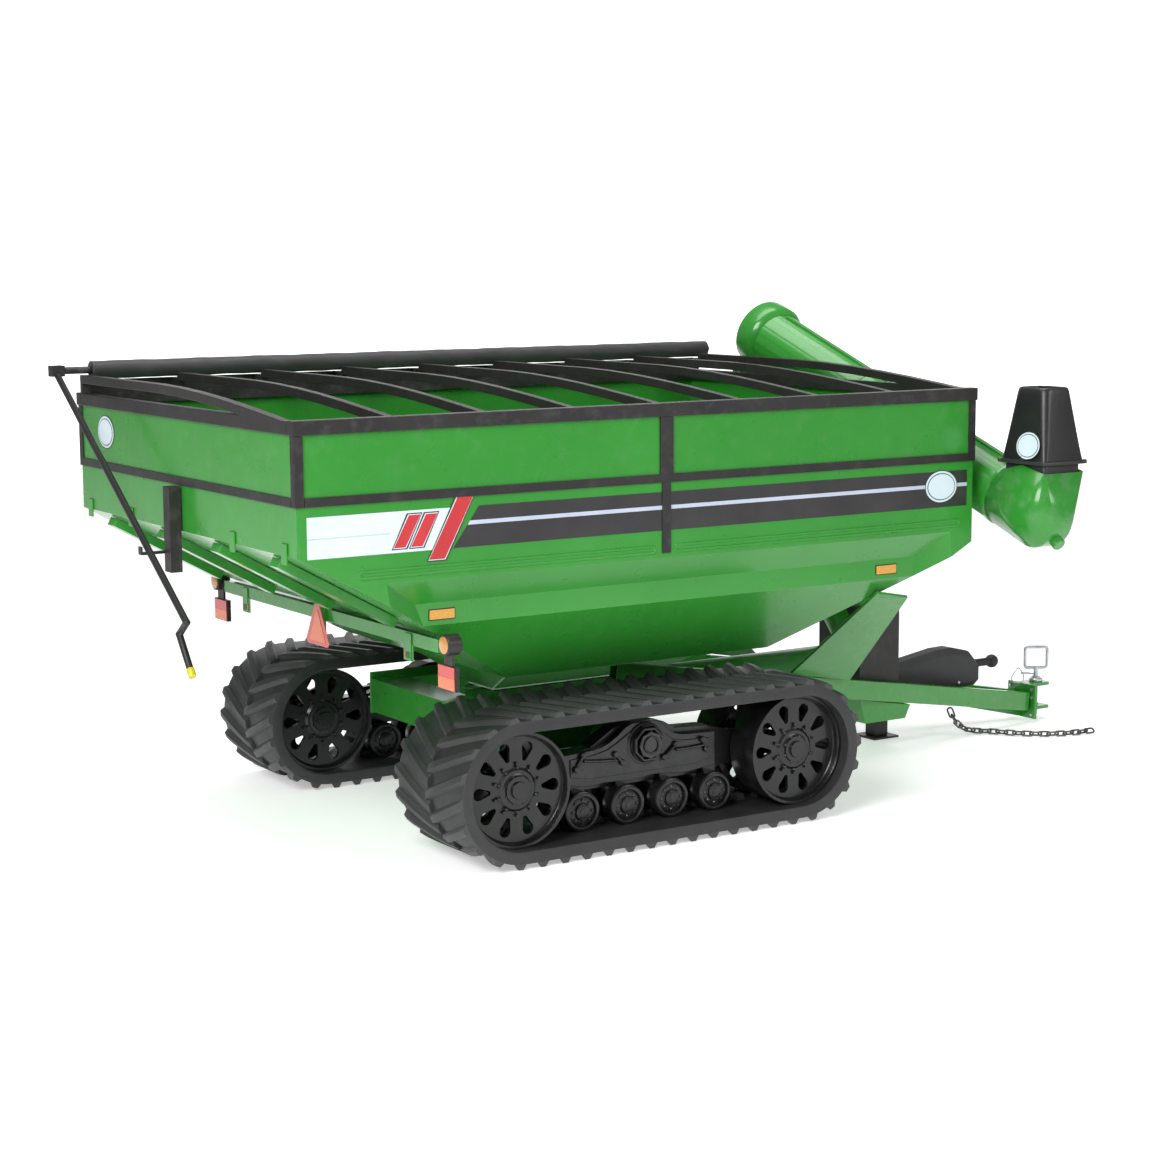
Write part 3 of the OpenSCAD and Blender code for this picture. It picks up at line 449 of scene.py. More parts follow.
def tank_shell():
    bm = bmesh.new()
    cache = {}

    def V(x, y, z):
        k = (round(x, 2), round(y, 2), round(z, 2))
        if k not in cache:
            cache[k] = bm.verts.new(P(x, y, z))
        return cache[k]

    def F(*pts):
        bm.faces.new([V(*p) for p in pts])

    for s in (-1, 1):
        y0, y1, y2 = s * W, s * yb, s * yh
        fz = zfw - (L - 6030) * sf
        rz = zrw - 730 * sr
        F((0, y0, zrw), (730, y0, rz), (700, y0, zfold), (6010, y0, zfold), (6030, y0, fz), (L, y0, zfw), (L, y0, Z1), (0, y0, Z1))
        F((700, y0, zfold), (1000, y1, zband), (5745, y1, zband), (6010, y0, zfold))
        F((1000, y1, zband), (rearx(zhop), y1, zhop), (frontx(zhop), y1, zhop), (5745, y1, zband))
        F((700, y0, zfold), (730, y0, rz), (1000, y1, zband))
        F((730, y0, rz), (rearx(zhop), y1, zhop), (1000, y1, zband))
        F((6010, y0, zfold), (5745, y1, zband), (6030, y0, fz))
        F((6030, y0, fz), (5745, y1, zband), (frontx(zhop), y1, zhop))
        F((rearx(zhop), y1, zhop), (xr, y2, zfloor), (xf, y2, zfloor), (frontx(zhop), y1, zhop))
    fz = zfw - (L - 6030) * sf
    rz = zrw - 730 * sr
    F((0, -W, zrw), (0, W, zrw), (0, W, Z1), (0, -W, Z1))
    F((L, -W, zfw), (L, W, zfw), (L, W, Z1), (L, -W, Z1))
    F((0, -W, zrw), (730, -W, rz), (rearx(zhop), -yb, zhop), (xr, -yh, zfloor), (xr, yh, zfloor), (rearx(zhop), yb, zhop), (730, W, rz), (0, W, zrw))
    F((L, -W, zfw), (6030, -W, fz), (frontx(zhop), -yb, zhop), (xf, -yh, zfloor), (xf, yh, zfloor), (frontx(zhop), yb, zhop), (6030, W, fz), (L, W, zfw))
    bmesh.ops.recalc_face_normals(bm, faces=bm.faces)
    # outward check
    bm.faces.ensure_lookup_table()
    f = bm.faces[0]
    if f.normal.y > 0:
        bmesh.ops.reverse_faces(bm, faces=bm.faces)
    o = new_obj("tank_shell", bm, "green", "root", recalc=False)
    o.modifiers.clear()
    o.data.set_sharp_from_angle(angle=180 * D)
    s = o.modifiers.new("plate", "SOLIDIFY")
    s.thickness = 0.006
    s.offset = -1
    b = o.modifiers.new("edge", "BEVEL")
    b.width = 0.014
    b.segments = 3
    b.limit_method = "ANGLE"
    b.angle_limit = 12 * D
    b.harden_normals = True
    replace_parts(o, "side_walls", "end_walls", "end_slopes", "side_bands", "hopper_sides")
    return o


tank_shell()


def stadium(x0, x1, z0, z1, y, n=8, slope=0.0):
    r = (z1 - z0) / 2
    pts = []
    for k in range(n + 1):
        t = math.pi / 2 + math.pi * k / n
        pts.append((x0 + r + r * math.cos(t), (z0 + z1) / 2 + r * math.sin(t)))
    for k in range(n + 1):
        t = -math.pi / 2 + math.pi * k / n
        pts.append((x1 - r + r * math.cos(t), (z0 + z1) / 2 + r * math.sin(t)))
    return [(x, y, z + (x - x0) * slope) for x, z in pts]


def ribs():
    """Pressed beads low on the side walls: a raised outline with a sunken middle."""
    for s, tag in ((-1, "right"), (1, "left")):
        bm = bmesh.new()
        for x0, x1 in ((470, 3040), (3200, 6120)):
            outer = stadium(x0, x1, 2292, 2362, 0)
            inner = stadium(x0 + 18, x1 - 18, 2310, 2344, 0)
            n = len(outer)
            y0, y1, y2 = s * (W - 1), s * (W + 9), s * (W + 2)
            a = [bm.verts.new(P(p[0], y0, p[2])) for p in outer]
            b = [bm.verts.new(P(p[0] + (4 if p[0] < (x0 + x1) / 2 else -4), y1, p[2] + (-5 if p[2] > 2327 else 5))) for p in outer]
            c = [bm.verts.new(P(p[0], y1, p[2])) for p in inner]
            d = [bm.verts.new(P(p[0] + (6 if p[0] < (x0 + x1) / 2 else -6), y2, p[2] + (-6 if p[2] > 2327 else 6))) for p in inner]
            for r0, r1 in ((a, b), (b, c), (c, d)):
                for i in range(n):
                    j = (i + 1) % n
                    bm.faces.new((r0[i], r0[j], r1[j], r1[i]))
            bm.faces.new(d)
            bm.faces.new(a[::-1])
        new_obj("wall_bead_" + tag, bm, "green", "root", bevel=0.002, seg=2, angle=25)


ribs()


def decals():
    for s, tag in ((-1, "right"), (1, "left")):
        y = s * (W + 1.2)
        t = Vector((0, s * 0.0012, 0))
        rx = (lambda x: x) if s < 0 else (lambda x: x)

        def quad(bm, x0, x1, z0, z1, yy, sl0=0, sl1=0, mi=0):
            pts = [P(x0, yy, z0), P(x1, yy, z0), P(x1 + sl1, yy, z1), P(x0 + sl0, yy, z1)]
            add_poly_prism(bm, pts, t, mi)

        bm = bmesh.new()
        quad(bm, 78, 1180, 2470, 2768, y, 0, 210)
        new_obj("band_white_" + tag, bm, "dec_white", "root", smooth=False)
        bm = bmesh.new()
        quad(bm, 1250, 6180, 2470, 2632, y, 122, 0)
        quad(bm, 1396, 6180, 2664, 2768, y, 74, 0)
        new_obj("band_black_" + tag, bm, "dec_black", "root", smooth=False)
        bm = bmesh.new()
        quad(bm, 1374, 6180, 2633, 2663, y, 20, 0)
        quad(bm, 78, 740, 2607, 2617, y + s * 1.4)
        new_obj("band_grey_" + tag, bm, "dec_grey", "root", smooth=False)
        # slanted bars where the white field meets the black one
        bm = bmesh.new()
        for k, (x0, w, z0, z1) in enumerate(((760, 95, 2505, 2735), (900, 95, 2505, 2735), (1046, 130, 2400, 2860))):
            sl = (z1 - z0) * 0.55
            quad(bm, x0 - 16, x0 + w + 16, z0 - 14, z1 + 14, y + s * 2.4, sl, sl, 0)
            quad(bm, x0 - 6, x0 + w + 6, z0 - 6, z1 + 6, y + s * 3.8, sl, sl, 1)
            quad(bm, x0, x0 + w, z0, z1, y + s * 5.2, sl, sl, 2)
        new_obj("slant_bars_" + tag, bm, ["dec_black", "dec_white", "dec_red"], "root", smooth=False)
    # plain oval badges with a thin ring
    for name, c, u, v, nrm in (
        ("badge_right", P(5898, -W - 2, 2642), Vector((1, 0, 0)), Vector((0, 0, 1)), Vector((0, -1, 0))),
        ("badge_left", P(5898, W + 2, 2642), Vector((1, 0, 0)), Vector((0, 0, 1)), Vector((0, 1, 0))),
        ("badge_rear", P(-2, 1480, 3152), Vector((0, 1, 0)), Vector((0, 0, 1)), Vector((-1, 0, 0))),
    ):
        bm = bmesh.new()
        for k, (a, b, mi) in enumerate(((176, 138, 1), (168, 130, 0), (150, 112, 1), (143, 105, 0))):
            ring = [c + nrm * (0.0014 * k) + u * (a / 1000 * math.cos(q)) + v * (b / 1000 * math.sin(q)) for q in [2 * math.pi * i / 48 for i in range(48)]]
            add_poly_prism(bm, ring, nrm * 0.0012, mi)
        new_obj(name, bm, ["dec_white", "dec_black"], "root", smooth=False)


decals()

# ------------------------------------------------------------------ tracks
XT, WB, ZW = 3120.0, 2625.0, 590.0
XW = (XT - WB / 2, XT + WB / 2)
TY0, TY1 = 1123.0, 2126.0
YC = (TY0 + TY1) / 2


def loop_point(s, r):
    """Point and on the belt loop at arc length s (measured at radius 550), offset radius r, as x, z."""
    R = 550.0
    per = 2 * WB + 2 * math.pi * R
    s = s % per
    a = math.pi * R
    if s < WB:
        return XW[0] + s, ZW + r
    if s < WB + a:
        t = (s - WB) / R
        return XW[1] + r * math.sin(t), ZW + r * math.cos(t)
    if s < 2 * WB + a:
        return XW[1] - (s - WB - a), ZW - r
    t = math.pi + (s - 2 * WB - a) / R
    return XW[0] + r * math.sin(t), ZW + r * math.cos(t)


def belt(side, sign):
    bm = bmesh.new()
    per = 2 * WB + 2 * math.pi * 550
    N = 44
    prof = [(TY0 + 14, 550), (TY0 + 4, 547), (TY0, 538), (TY0, 464), (TY0 + 6, 454), (TY0 + 18, 450), (TY1 - 18, 450), (TY1 - 6, 454), (TY1, 464), (TY1, 538),
            (TY1 - 4, 547), (TY1 - 14, 550)]
    nS = 264
    rings = []
    for i in range(nS):
        s = per * i / nS
        ring = []
        for y, r in prof:
            x, z = loop_point(s, r)
            ring.append(bm.verts.new(P(x, sign * y, z)))
        rings.append(ring)
    m = len(prof)
    for i in range(nS):
        a, b = rings[i], rings[(i + 1) % nS]
        for k in range(m):
            bm.faces.new((a[k], a[(k + 1) % m], b[(k + 1) % m], b[k]))
    # guide blocks on the inside
    for i in range(N):
        s = per * (i + 0.5) / N
        vs = []
        for ds, r in ((-44, 452), (44, 452), (26, 398), (-26, 398)):
            for dy in (-42, 42):
                x, z = loop_point(s + ds, r)
                vs.append(bm.verts.new(P(x, sign * (YC + dy * (1 if r > 440 else 0.7)), z)))
        q = [(0, 1, 3, 2), (4, 5, 7, 6), (0, 2, 4, 6), (1, 7, 5, 3), (0, 6, 7, 1), (2, 3, 5, 4)]
        for f in q:
            bm.faces.new([vs[k] for k in f])
    # tread lugs, one row each side, staggered, raked towards the middle
    K = 205.0
    half = TY1 - YC
    for row in (-1, 1):
        for i in range(N):
            s0 = per * (i + (0.5 if row > 0 else 0.0)) / N
            rings = []
            n = 11
            for k in range(n):
                t = k / (n - 1)
                q = half - 3 + (-18 - half + 3) * t
                s = s0 + K * (abs(q) / half) * (1 if q > 0 else -1)
                wide = 1.0 + 0.16 * t
                top = 589.0
                if k == 0:
                    top = 586.0
                if k == n - 1:
                    top = 580.0
                ring = []
                for ds, r in ((-50 * wide, 546), (-27 * wide, top - 4), (-22 * wide, top), (22 * wide, top), (27 * wide, top - 4), (50 * wide, 546)):
                    x, z = loop_point(s + ds, r)
                    ring.append(bm.verts.new(P(x, sign * (YC + row * q), z)))
                rings.append(ring)
            for a, b in zip(rings, rings[1:]):
                for j in range(6):
                    bm.faces.new((a[j], a[(j + 1) % 6], b[(j + 1) % 6], b[j]))
            bm.faces.new(rings[0])
            bm.faces.new(rings[-1][::-1])
    o = new_obj("belt_tread_" + side, bm, "rubber", "track_" + side, angle=28)
    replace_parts(o, "belt_" + side)
    return o


belt("right", -1)
belt("left", 1)


def arc_pts(cx, cz, r, a0, a1, n=8):
    return [(cx + r * math.cos(a * D), cz + r * math.sin(a * D)) for a in [a0 + (a1 - a0) * k / n for k in range(n + 1)]]


def track_trim(side, sign):
    body = "track_" + side
    ZP = 753.0
    # outer frame plate with its swept shoulders
    out = [(2320, 520), (2300, 735), (2600, 748), (2700, 762), (2790, 795), (2870, 845), (2940, 900), (3010, 925), (3230, 925), (3290, 895),
           (3340, 845), (3400, 805), (3470, 785), (3560, 778), (3800, 770), (3806, 500), (3640, 480), (3560, 470), (3440, 470), (3360, 480), (3200, 492),
           (3080, 476), (2960, 470), (2860, 476), (2740, 480), (2640, 470), (2520, 474)]
    bm = bmesh.new()
    y0, y1 = sign * 1702, sign * 1762
    add_poly_prism(bm, [P(x, y0, z) for x, z in out], P(0, y1, 0) - P(0, y0, 0))
    # welded doubler below the shoulder
    inn = [(2420, 560), (2420, 700), (2620, 712), (2760, 740), (2860, 790), (2960, 850), (3020, 866), (3220, 866), (3280, 830), (3380, 760), (3480, 735),
           (3740, 728), (3740, 560), (3600, 530), (2600, 530)]
    add_poly_prism(bm, [P(x, sign * 1763, z) for x, z in inn], Vector((0, sign * 0.010, 0)))
    # hanger cheeks down to each roller
    for i in range(4):
        x = XT - 630 + 420 * i
        add_poly_prism(bm, [P(x - 70, sign * 1722, 500), P(x + 70, sign * 1722, 500), P(x + 52, sign * 1722, 440), P(x - 52, sign * 1722, 440)], Vector((0, sign * 0.030, 0)))
    new_obj("frame_plate_" + side, bm, "wheel", body, bevel=0.006, seg=2, angle=28)
    # octagonal nut with a domed cap
    bm = bmesh.new()
    o = P(XT, sign * 1760, ZP)
    ax = (0, sign, 0)
    add_lathe(bm, o, ax, [(170, 0), (170, 14), (160, 18), (118, 18), (118, 0)], seg=48, closed=True)
    add_lathe(bm, o, ax, [(150, 14), (150, 60), (140, 74), (122, 74), (118, 60), (118, 14)], seg=8, phase=math.pi / 8, closed=True)
    add_lathe(bm, o + Vector(ax) * 0.1005, ax, [(60, 0), (72, 0), (76, 10), (68, 14), (56, 10)], seg=40, closed=True)
    new_obj("pivot_nut_" + side, bm, "wheel", body, bevel=0.004, seg=2, angle=30)
    # grease and tension linkages beside the nut
    bm = bmesh.new()
    for a, b, c, d in (((2465, 622), (2530, 728), (2832, 700), (2895, 628)), ((3290, 625), (3402, 716), (3664, 722), (3700, 640))):
        for p, q in ((a, b), (c, d)):
            add_tube(bm, [P(p[0], sign * 1786, p[1]), P(q[0], sign * 1790, q[1])], 13)
        mid = [(b[0], b[1] - 46), ((b[0] + c[0]) / 2, (b[1] + c[1]) / 2 - 50), (c[0], c[1] - 46)]
        add_tube(bm, [P(x, sign * 1792, z) for x, z in mid], 11)
        for x, z in (a, b, c, d):
            add_lathe(bm, P(x, sign * 1764, z), ax, [(0, 0), (26, 0), (26, 28), (20, 36), (0, 36)], seg=20)
        add_box(bm, (min(a[0], d[0]) - 30, sign * 1763, 590) if sign > 0 else (min(a[0], d[0]) - 30, sign * 1779, 590),
                (min(a[0], d[0]) + 70, sign * 1779, 606) if sign > 0 else (min(a[0], d[0]) + 70, sign * 1763, 606))
    new_obj("linkage_" + side, bm, "wheel", body, angle=35)
    # inner frame beam seen through the track
    bm = bmesh.new()
    add_box(bm, (2330, sign * 1380 if sign > 0 else sign * 1480, 560), (3900, sign * 1480 if sign > 0 else sign * 1380, 700))
    new_obj("inner_beam_" + side, bm, "wheel", body, bevel=0.006)


track_trim("right", -1)
track_trim("left", 1)


def wheel_trim(node, x, sign):
    """Stepped hub cap, cone-nosed nuts, rim bead on both discs."""
    bm = bmesh.new()
    for sy, face in ((sign, 1), (-sign, -1)):
        base = P(x, sign * YC, ZW)
        ax = Vector((0, sy, 0))
        o = base + ax * 0.350
        # hub stack standing on the disc
        add_lathe(bm, o, ax, [(128, 0), (128, 14), (118, 20), (100, 22), (98, 34), (88, 38), (70, 40), (68, 50), (58, 53), (36, 54), (34, 58), (0, 58)], seg=40)
        _, u, v = basis(ax)
        for k in range(8):
            t = 2 * math.pi * (k + 0.5) / 8
            add_lathe(bm, o + (u * math.cos(t) + v * math.sin(t)) * 0.109, ax, [(0, 16), (10, 16), (10, 30), (7, 34), (0, 34)], seg=6)
        for k in range(10):
            t = 2 * math.pi * k / 10 + math.pi / 10
            c = base + ax * 0.350 + (u * math.cos(t) + v * math.sin(t)) * 0.172
            add_lathe(bm, c, ax, [(0, 0), (19, 0), (19, 6), (15, 8), (15, 20), (11, 26), (0, 27)], seg=12)
        # rolled bead just inside the rim
        add_lathe(bm, base, ax, [(404, 352), (412, 366), (420, 372), (430, 402), (438, 404), (444, 398), (444, 352)], seg=72, closed=True)
    new_obj(node + "_hub", bm, "wheel", node, angle=32)


def roller_trim(node, x, sign):
    bm = bmesh.new()
    base = P(x, sign * YC, 297.0)
    for sy in (1, -1):
        ax = Vector((0, sy, 0))
        _, u, v = basis(ax)
        add_lathe(bm, base, ax, [(118, 190), (118, 196), (108, 200), (72, 200), (64, 206), (62, 218), (52, 222), (30, 222), (28, 226), (0, 226)], seg=36)
        for k in range(8):
            t = 2 * math.pi * k / 8
            add_lathe(bm, base + (u * math.cos(t) + v * math.sin(t)) * 0.090, ax, [(0, 196), (13, 196), (13, 206), (9, 211), (0, 211)], seg=6)
        add_lathe(bm, base, ax, [(124, 205), (128, 216), (140, 218), (150, 214), (154, 206), (154, 150), (150, 150), (150, 204), (140, 208), (128, 205)], seg=48, closed=True)
    new_obj(node + "_cap", bm, "wheel", node, angle=32)


for side, sign in (("right", -1), ("left", 1)):
    for k, x in (("rear", XW[0]), ("front", XW[1])):
        wheel_trim("wheel_%s_%s" % (side, k), x, sign)
    for i in range(4):
        roller_trim("roller_%s_%d" % (side, i + 1), XT - 630 + 420 * i, sign)

# ------------------------------------------------------------------ auger head
AX, FU, FL = 6650.0, 200.13, 49.0
PY, PZ, UL, HO = 1513.6, 3490.0, 4100.0, 330.0
UY = PY - HO * math.cos((FU + 90) * D)
UZ = PZ - HO * math.sin((FU + 90) * D)
SY = UY + UL * math.cos(FU * D)
SZ = UZ + UL * math.sin(FU * D)
dU = Vector((0, math.cos(FU * D), math.sin(FU * D)))
nU = Vector((0, math.cos((FU - 90) * D), math.sin((FU - 90) * D)))  # up side of the folded tube


def elbow():
    bm = bmesh.new()
    pts = []
    S = P(AX, SY, SZ)
    for lz, r in ((-430, 271),):
        for i in range(48):
            t = 2 * math.pi * i / 48
            pts.append(S + dU * (lz / 1000) + (Vector((1, 0, 0)) * math.cos(t) + nU * math.sin(t)) * (r / 1000))
    # rounded heel with a keel, swept up to the rectangular mouth
    for a in range(0, 360, 8):
        for b in range(-80, 1, 8):
            cb = math.cos(b * D)
            pts.append(P(AX + 270 * cb * math.cos(a * D), SY + 270 * cb * math.sin(a * D), SZ + 10 + 268 * math.sin(b * D)))
    for x in (-96, 96):
        for a in range(196, 352, 6):
            pts.append(P(AX + x, SY + 2 + 278 * math.cos(a * D), SZ + 14 + 276 * math.sin(a * D)))
    for sx in (-1, 1):
        for sy, e in ((-1, -266), (1, 262)):
            for a in range(0, 91, 15):
                y = e - sy * 30 + sy * 30 * math.sin(a * D)
                pts.append(P(AX + sx * (196 + 30 * math.cos(a * D)), SY + y, 2824 - 0.228 * abs(y)))
        pts.append(P(AX + sx * 226, SY, 2824))
    vs = [bm.verts.new(p) for p in pts]
    res = bmesh.ops.convex_hull(bm, input=vs)
    bmesh.ops.delete(bm, geom=[v for v in bm.verts if not v.link_faces], context="VERTS")
    # open the mouth and the joint to the tube
    kill = []
    for f in bm.faces:
        if f.normal.z > 0.95 and f.calc_center_median().z > P(0, 0, 2750).z:
            kill.append(f)
        elif f.normal.dot(-dU) > 0.98:
            kill.append(f)
    bmesh.ops.delete(bm, geom=kill, context="FACES")
    o = new_obj("auger_elbow", bm, "green", "upper_auger", recalc=True)
    o.data.set_sharp_from_angle(angle=34 * D)
    s = o.modifiers.new("plate", "SOLIDIFY")
    s.thickness = 0.007
    s.offset = -1
    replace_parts(o, "elbow")
    # rubber neck that closes the gap under the tilting spout
    bm = bmesh.new()
    rings = []
    for z, k in ((2690, 0), (2826, 0), (2836, 4), (2836, 10), (2690, 10)):
        ring = []
        for sx, sy, a0 in ((1, 1, 0), (-1, 1, 90), (-1, -1, 180), (1, -1, 270)):
            for q in range(6):
                t = (a0 + 18 * q) * D
                r = 30 - k
                ring.append(bm.verts.new(P(AX + sx * 168 + r * math.cos(t), SY + sy * 208 + r * math.sin(t), z)))
        rings.append(ring)
    n = len(rings[0])
    for a, b in list(zip(rings, rings[1:])) + [(rings[-1], rings[0])]:
        for i in range(n):
            bm.faces.new((a[i], a[(i + 1) % n], b[(i + 1) % n], b[i]))
    new_obj("elbow_neck", bm, "spout", "upper_auger", angle=35)
    # inspection boss at the heel and the joint band
    bm = bmesh.new()
    c = P(AX, SY - 175, SZ - 190)
    add_lathe(bm, c, (0.0, -0.80, -0.60), [(56, -40), (56, 56), (48, 66), (0, 66)], seg=32)
    ring = [(272, -6), (279, -4), (279, 34), (272, 36)]
    add_lathe(bm, P(AX, SY, SZ) + dU * -0.445, dU, ring, seg=72, closed=True)
    new_obj("elbow_boss", bm, "green", "upper_auger", angle=30)


elbow()


def collars():
    U = P(AX, UY, UZ)
    bm = bmesh.new()
    add_lathe(bm, U, dU, [(271, 236), (284, 226), (316, 190), (321, 176), (321, 24), (316, 2), (300, 1.2), (272, 1.2)], seg=80, closed=True)
    # seam strip and line along the top of the tube
    a, b = 0.30, (UL - 470) / 1000
    _, w = None, Vector((1, 0, 0))
    p0 = U + dU * a + nU * 0.262
    p1 = U + dU * b + nU * 0.262
    q = [p0 - w * 0.020, p0 + w * 0.020, p1 + w * 0.020, p1 - w * 0.020]
    add_poly_prism(bm, q, nU * 0.026)
    for k in range(6):
        t = 0.5 + k * 0.58
        add_lathe(bm, U + dU * t, dU, [(270, 0), (276, 2), (276, 22), (270, 24)], seg=72, closed=True) if k in (2, 4) else None
    new_obj("upper_tube_collar", bm, "green", "upper_auger", bevel=0.003, seg=2, angle=35)
    # bolts round the joint flange
    bm = bmesh.new()
    for k in range(16):
        t = 2 * math.pi * (k + 0.5) / 16
        c = U + (Vector((1, 0, 0)) * math.cos(t) + nU * math.sin(t)) * 0.295
        if (c - U).dot(nU) > 0.27:
            pass
        add_lathe(bm, c + dU * 0.020, dU, [(0, 0), (11, 0), (11, 9), (0, 9)], seg=6)
    new_obj("joint_bolts_upper", bm, "zinc", "upper_auger", smooth=False)
    E = P(AX, PY + HO * math.sin(FL * D), PZ - HO * math.cos(FL * D))
    dL = Vector((0, math.cos(FL * D), math.sin(FL * D)))
    nL = Vector((0, math.cos((FL + 90) * D), math.sin((FL + 90) * D)))
    bm = bmesh.new()
    for k in range(16):
        t = 2 * math.pi * (k + 0.5) / 16
        c = E + (Vector((1, 0, 0)) * math.cos(t) + nL * math.sin(t)) * 0.295
        add_lathe(bm, c - dL * 0.021, -dL, [(0, 0), (11, 0), (11, 9), (0, 9)], seg=6)
    new_obj("joint_bolts_lower", bm, "zinc", "root", smooth=False)
    # rolled stiffening bands on the lower tube
    bm = bmesh.new()
    for s in (0.45, 1.15, 1.95):
        add_lathe(bm, E - dL * s, dL, [(270, 0), (277, 3), (277, 27), (270, 30)], seg=72, closed=True)
    new_obj("lower_tube_bands", bm, "green", "root", bevel=0.002, angle=35)


collars()


def spout():
    """Moulded spout: a rounded box that narrows upwards, rolled lip, flange with corner tabs."""
    def ring(bm, z, a, b, r, n=6, dz=0.0):
        pts = []
        for sx, sy, a0 in ((1, 1, 0), (-1, 1, 90), (-1, -1, 180), (1, -1, 270)):
            for k in range(n + 1):
                t = (a0 + 90 * k / n) * D
                pts.append((AX + sx * (a - r) + r * math.cos(t), SY + sy * (b - r) + r * math.sin(t)))
        return [bm.verts.new(P(x, y, z)) for x, y in pts]

    bm = bmesh.new()
    prof = [(2832, 238, 276, 30), (2856, 238, 276, 30), (2862, 234, 272, 34), (2866, 224, 262, 44), (3000, 207, 243, 56), (3150, 190, 221, 64), (3300, 172, 200, 70),
            (3412, 158, 184, 74), (3446, 152, 178, 76), (3458, 144, 170, 74), (3460, 134, 160, 68), (3452, 128, 154, 64), (3400, 136, 162, 64), (3150, 170, 201, 52),
            (2900, 206, 244, 36), (2832, 214, 254, 26)]
    rings = [ring(bm, *p) for p in prof]
    n = len(rings[0])
    for a, b in list(zip(rings, rings[1:])) + [(rings[-1], rings[0])]:
        for i in range(n):
            j = (i + 1) % n
            bm.faces.new((a[i], a[j], b[j], b[i]))
    o = new_obj("discharge_spout", bm, "spout", "spout", angle=50)
    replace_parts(o, "spout")
    bm = bmesh.new()
    for sx in (-1, 1):
        for sy in (-1, 1):
            add_lathe(bm, P(AX + sx * 226, SY + sy * 262, 2834), (0, 0, 1), [(0, 0), (20, 0), (20, 26), (14, 32), (0, 32)], seg=20)
        add_lathe(bm, P(AX + sx * 190, SY, 2880), (sx, 0, 0), [(0, 0), (24, 0), (24, 40), (18, 46), (0, 46)], seg=24)
    new_obj("spout_studs", bm, "spout", "spout", angle=35)
    bm = bmesh.new()
    # badge on the spout face that looks to the rear
    c = P(AX - 213, SY - 62, 2985)
    nrm = Vector((-0.985, 0, 0.155)).normalized()
    u = Vector((0, 1, 0))
    v = nrm.cross(u).normalized()
    for k, (a, b, mi) in enumerate(((142, 118, 1), (135, 111, 0), (121, 97, 1), (115, 91, 0))):
        rg = [c + nrm * (0.0014 * k + 0.006) + u * (a / 1000 * math.cos(q)) + v * (b / 1000 * math.sin(q)) for q in [2 * math.pi * i / 40 for i in range(40)]]
        add_poly_prism(bm, rg, nrm * 0.0012, mi)
    new_obj("badge_spout", bm, ["dec_white", "dec_black"], "spout", smooth=False)


spout()


# ------------------------------------------------------------------ tarp
def tarp():
    bm = bmesh.new()
    y0, z0 = 1930.0, 3640.0
    nx, seg = 150, 40
    rings = []
    for i in range(nx + 1):
        x = 60 + (6330 - 60) * i / nx
        ring = []
        for k in range(seg):
            t = 2 * math.pi * k / seg
            w = 1.4 * math.sin(x / 95.0 + 2.2 * t) + 1.1 * math.sin(x / 41.0 - 3 * t) + 0.9 * math.sin(x / 233.0 + t)
            spiral = 3.0 * ((t / (2 * math.pi) + 0.1) % 1.0)
            r = 73.5 + w + spiral
            ring.append(bm.verts.new(P(x, y0 + r * math.cos(t), z0 + r * math.sin(t))))
        rings.append(ring)
    for a, b in zip(rings, rings[1:]):
        for k in range(seg):
            bm.faces.new((a[k], a[(k + 1) % seg], b[(k + 1) % seg], b[k]))
    # wound ends: rings stepping in towards the shaft
    for end, ring, dx in ((0, rings[0], 1), (1, rings[-1], -1)):
        prev = ring
        for j, (r, d) in enumerate(((68, 0), (64, 5), (60, 0), (55, 5), (50, 0), (45, 5), (40, 0), (31, 5))):
            x = (60 if end == 0 else 6330) + dx * d
            nr = [bm.verts.new(P(x, y0 + r * math.cos(2 * math.pi * k / seg), z0 + r * math.sin(2 * math.pi * k / seg))) for k in range(seg)]
            for k in range(seg):
                f = (prev[k], prev[(k + 1) % seg], nr[(k + 1) % seg], nr[k])
                bm.faces.new(f if end == 1 else f[::-1])
            prev = nr
        bm.faces.new(prev if end == 1 else prev[::-1])
    o = new_obj("tarp_wound", bm, "tarp", "tarp_roll", angle=60)
    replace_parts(o, "tarp_roll")
    bm = bmesh.new()
    add_lathe(bm, P(-176, y0, z0), (1, 0, 0), [(0, 0), (26, 0), (30, 4), (30, 240), (0, 240)], seg=32)
    add_lathe(bm, P(6370, y0, z0), (-1, 0, 0), [(0, 0), (26, 0), (30, 4), (30, 44), (0, 44)], seg=32)
    new_obj("tarp_shaft", bm, "black", "tarp_roll", angle=35)


tarp()

# ------------------------------------------------------------------ rear lighting
LBX, LBZ = 1226.0, 1750.0


